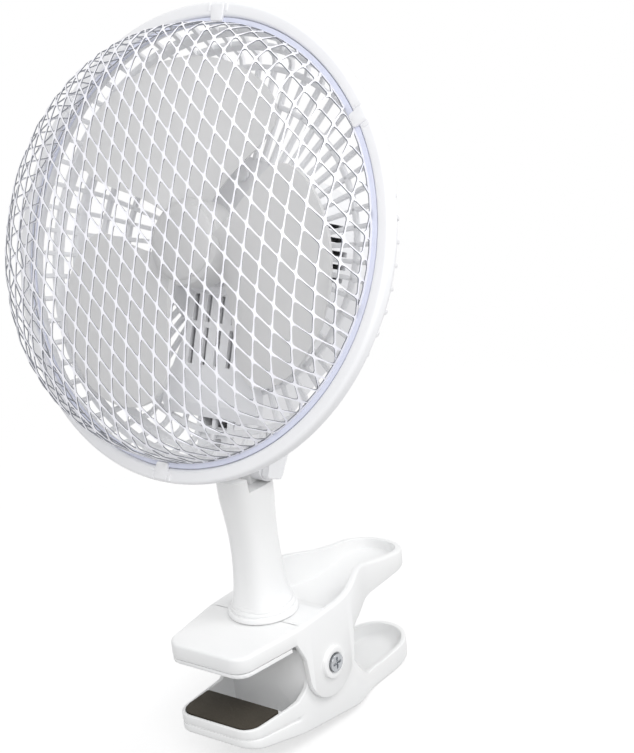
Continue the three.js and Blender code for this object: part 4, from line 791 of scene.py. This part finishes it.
def neckColumn():
    # each ring is a squared circle; its half width and its reach to front and back follow curves up the neck
    n = neckShape
    table = np.array(n["sections"], float)
    level = np.linspace(n["sections"][0][0], n["ledge"], 44)
    fit = [np.polynomial.Polynomial.fit(table[:, 0], table[:, k], 5) for k in (1, 2, 3)]
    half, front, rear = (f(level)[:, None] for f in fit)
    turn = np.linspace(0, 2 * np.pi, 96, endpoint=False)[None, :]
    c, s = np.cos(turn), np.sin(turn)
    x = np.sign(c) * np.abs(c) ** n["power"] * half
    y = np.sign(s) * np.abs(s) ** n["power"] * np.where(s < 0, front, rear)
    z = level[:, None] + 0 * turn
    points = np.stack([x, y, z], axis=-1)
    last = points[-1]
    back = last[:, 1].min() + n["apronThick"]
    isFront = last[:, 1] < back
    lift = np.where(isFront, n["apron"], n["ledge"])[:, None]
    rings = [np.hstack([last[:, :2] - [0, 0.5] * isFront[:, None], lift - 0.5]),
             np.hstack([last[:, :2] * 0.97, lift])]
    behind = last.copy()
    behind[:, 1] = np.where(isFront, back, behind[:, 1] * 0.97)
    nothing, ledge = np.zeros(len(last)), np.full(len(last), n["ledge"])
    rings += [np.column_stack([behind[:, 0] * 0.95, behind[:, 1], lift[:, 0]]),
              np.column_stack([behind[:, 0] * 0.95, behind[:, 1], ledge]),
              np.column_stack([nothing, np.clip(behind[:, 1], back, 6), ledge])]
    foot = np.column_stack([nothing, nothing, nothing + level[0]])
    return onNeck(np.concatenate([foot[None], points, np.array(rings)]))


def onNeck(points):
    return points + np.array([0, neckShape["y"], neckShape["base"]])


neckParts = Parts().grid(neckColumn(), wrapCols=True)
footShape = [[0, 0.3], [14.3, 0.3], [14.7, 0.5], [14.8, 0.9], [14.8, 1.9], [14.6, 2.3], [14.0, 2.5],
             [13.4, 2.7], [13.45, 2.95], [13.6, 3.2], [13.65, 3.8], [13.4, 4.2], [12.8, 4.4],
             [12.5, 4.6], [12.55, 4.9], [12.6, 5.3], [12.4, 5.8], [11.9, 6.1], [11.0, 6.3], [0, 6.3]]
neckParts.grid(lathe(footShape, 96, onNeck), wrapRows=True)
neckParts.grid(lathe([[0, -3.9], [4.6, -3.9], [5, -3.5], [5, 1.2], [0, 1.2]], 40, onNeck), wrapRows=True)
tongue = np.vstack([ring(29, 76.6, 6.6, -20, 200, 24), [[23.6, 64.5], [33.6, 64.5]]])
neckParts.grid(slab(tongue, -2.6, 2.6, 0.5, alongX, (29, 73)), wrapCols=True)
makePiece("neck_post_shell", neckParts, "neck_post", clampWhite, ("neck",), angle=40)
print("neck made")

# the motor's shell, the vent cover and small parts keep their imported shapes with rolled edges
for node, body, material, slotName, name, edgeWidth in (
        ("vent_cover", "head", cageWhite, "white_plastic", "vent_hood", 0.4),
        ("motor_shell", "head", cageWhite, "white_plastic", "motor_housing", 0.8),
        ("tilt_cover", "head", cageWhite, "white_plastic", "tilt_cap", 0.8),
        ("pivot_bolt", "upper_clamp", brightSteel, "bright_steel", "pivot_screw", 0.25),
        ("pivot_nut", "upper_clamp", brightSteel, "bright_steel", "pivot_hex_nut", 0.25),
        ("tilt_bolt", "neck_post", brightSteel, "bright_steel", "tilt_screw", 0.2),
        ("tilt_nut", "neck_post", brightSteel, "bright_steel", "tilt_hex_nut", 0.2),
        ("rocker", "switch_rocker", blackPlastic, "black_plastic", "rocker_key", 0.3),
        ("switch_body", "head", blackPlastic, "black_plastic", "switch_frame", 0.25),
        ("cord_bushing", "head", blackPlastic, "black_plastic", "cable_bushing", 0.3)):
    fromNode(node, body, material, name, edgeWidth)

finishes = (
    (cageWhite, ("rear_guard", "vent_cover", "motor_shell", "tilt_cover", "plate_screw_1", "plate_screw_2",
                 "plate_screw_3")),
    (clampWhite, ("upper_jaw", "lower_jaw", "jaw_lining", "neck")),
    (bladeGrey, ("impeller", "hub_cap")),
    (meshCoat, ("front_guard",)),
    (padFoam, ("upper_pad", "lower_pad")),
    (brightSteel, ("neck_washer", "neck_screw", "lining_screw_1", "lining_screw_2", "shaft", "front_bearing",
                   "rear_bearing", "torsion_spring", "pivot_bolt", "pivot_nut", "tilt_bolt", "tilt_nut")),
    (ironPlate, ("motor_rotor", "stator", "front_bracket", "rear_bracket")),
    (copperWire, ("coil",)),
    (blackPlastic, ("rocker", "switch_body", "cord_bushing")))
bare = set(nodes)
for material, names in finishes:
    bare -= set(names)
    for node in names:
        nodes[node].data.materials.clear()
        nodes[node].data.materials.append(material)
print("small parts made, nodes without a finish:", sorted(bare))


# floor, lights and the white around them
stageLook = {"floorHeight": -47.6, "floorShare": 0.58, "fade": (0.1, 0.5), "ambient": (0.7, 0.7, 0.705)}


def makeFloor():
    # a pale disc that fades into the white around it, so that only the shadow shows
    disc = lathe([[0.01, 0], [300, 0], [900, 0]], 64) + np.array([0, 30, stageLook["floorHeight"]])
    mesh = bpy.data.meshes.new("floor")
    mesh.from_pydata((disc.reshape(-1, 3) * mm).tolist(), [], gridFaces(64, 3, wrapRows=True).tolist())
    material = bpy.data.materials.new("pale floor")
    material.use_nodes = True
    tree = material.node_tree
    add, join = tree.nodes.new, tree.links.new
    tree.nodes.remove(tree.nodes["Principled BSDF"])
    place, away, fade = add("ShaderNodeTexCoord"), add("ShaderNodeVectorMath"), add("ShaderNodeMapRange")
    away.operation = "LENGTH"
    fade.inputs["From Min"].default_value, fade.inputs["From Max"].default_value = stageLook["fade"]
    matte, clear = add("ShaderNodeBsdfDiffuse"), add("ShaderNodeBsdfTransparent")
    both = add("ShaderNodeMixShader")
    seen, lit, sheen = add("ShaderNodeLightPath"), add("ShaderNodeEmission"), add("ShaderNodeAddShader")
    matte.inputs["Color"].default_value = (0.5, 0.5, 0.5, 1)
    share = add("ShaderNodeMath")  # the disc lights itself in part where it is seen
    share.operation = "MULTIPLY"
    share.inputs[1].default_value = stageLook["floorShare"]
    rays = [add("ShaderNodeMath"), add("ShaderNodeMath")]
    for step, (first, second) in zip(rays, ((seen.outputs["Is Camera Ray"], seen.outputs["Is Glossy Ray"]),
                                            (rays[0].outputs["Value"], seen.outputs["Is Transmission Ray"]))):
        step.operation = "ADD"
        step.use_clamp = True
        join(first, step.inputs[0])
        join(second, step.inputs[1])
    join(rays[1].outputs["Value"], share.inputs[0])
    join(share.outputs["Value"], lit.inputs["Strength"])
    join(matte.outputs["BSDF"], sheen.inputs[0])
    join(lit.outputs["Emission"], sheen.inputs[1])
    join(place.outputs["Object"], away.inputs[0])
    join(away.outputs["Value"], fade.inputs["Value"])
    join(fade.outputs["Result"], both.inputs["Fac"])
    join(sheen.outputs["Shader"], both.inputs[1])
    join(clear.outputs["BSDF"], both.inputs[2])
    join(both.outputs["Shader"], tree.nodes["Material Output"].inputs["Surface"])
    mesh.materials.append(material)
    floor = bpy.data.objects.new("floor", mesh)
    bpy.context.scene.collection.objects.link(floor)


def makeWorld(ambient):
    # white where it is seen or mirrored, and a dimmer light on everything else
    world = bpy.data.worlds.new("white")
    bpy.context.scene.world = world
    world.use_nodes = True
    tree = world.node_tree
    add, join = tree.nodes.new, tree.links.new
    path, mix = add("ShaderNodeLightPath"), add("ShaderNodeMix")
    one, two = add("ShaderNodeMath"), add("ShaderNodeMath")
    one.operation = two.operation = "ADD"
    two.use_clamp = True
    mix.data_type = "RGBA"
    mix.inputs["A"].default_value = (*ambient, 1)
    mix.inputs["B"].default_value = (1, 1, 1, 1)
    join(path.outputs["Is Camera Ray"], one.inputs[0])
    join(path.outputs["Is Glossy Ray"], one.inputs[1])
    join(one.outputs["Value"], two.inputs[0])
    join(path.outputs["Is Transmission Ray"], two.inputs[1])
    join(two.outputs["Value"], mix.inputs["Factor"])
    join(mix.outputs["Result"], tree.nodes["Background"].inputs["Color"])


def makeLamp(name, place, size, power, aim=(0.0, 0.01, 0.11)):
    # place is right, up and towards the camera from the aim, in metres
    lamp = bpy.data.objects.new(name, bpy.data.lights.new(name, "AREA"))
    lamp.data.shape = "DISK"
    lamp.data.size = size
    lamp.data.energy = power
    away = np.array(place) @ cameraRows
    z = away / np.linalg.norm(away)
    x = np.cross([0, 0, 1], z)
    x /= np.linalg.norm(x)
    world = np.eye(4)
    world[:3, :3] = np.column_stack([x, np.cross(z, x), z])
    world[:3, 3] = np.array(aim) + away
    lamp.matrix_world = Matrix(world.tolist())
    bpy.context.scene.collection.objects.link(lamp)


makeFloor()
makeWorld(stageLook["ambient"])
makeLamp("key", place=(0.65, 0.7, 0.4), size=0.5, power=3.2)
makeLamp("front", place=(0.1, 0.3, 0.95), size=0.7, power=4.2)
bpy.context.scene.view_settings.view_transform = "Standard"
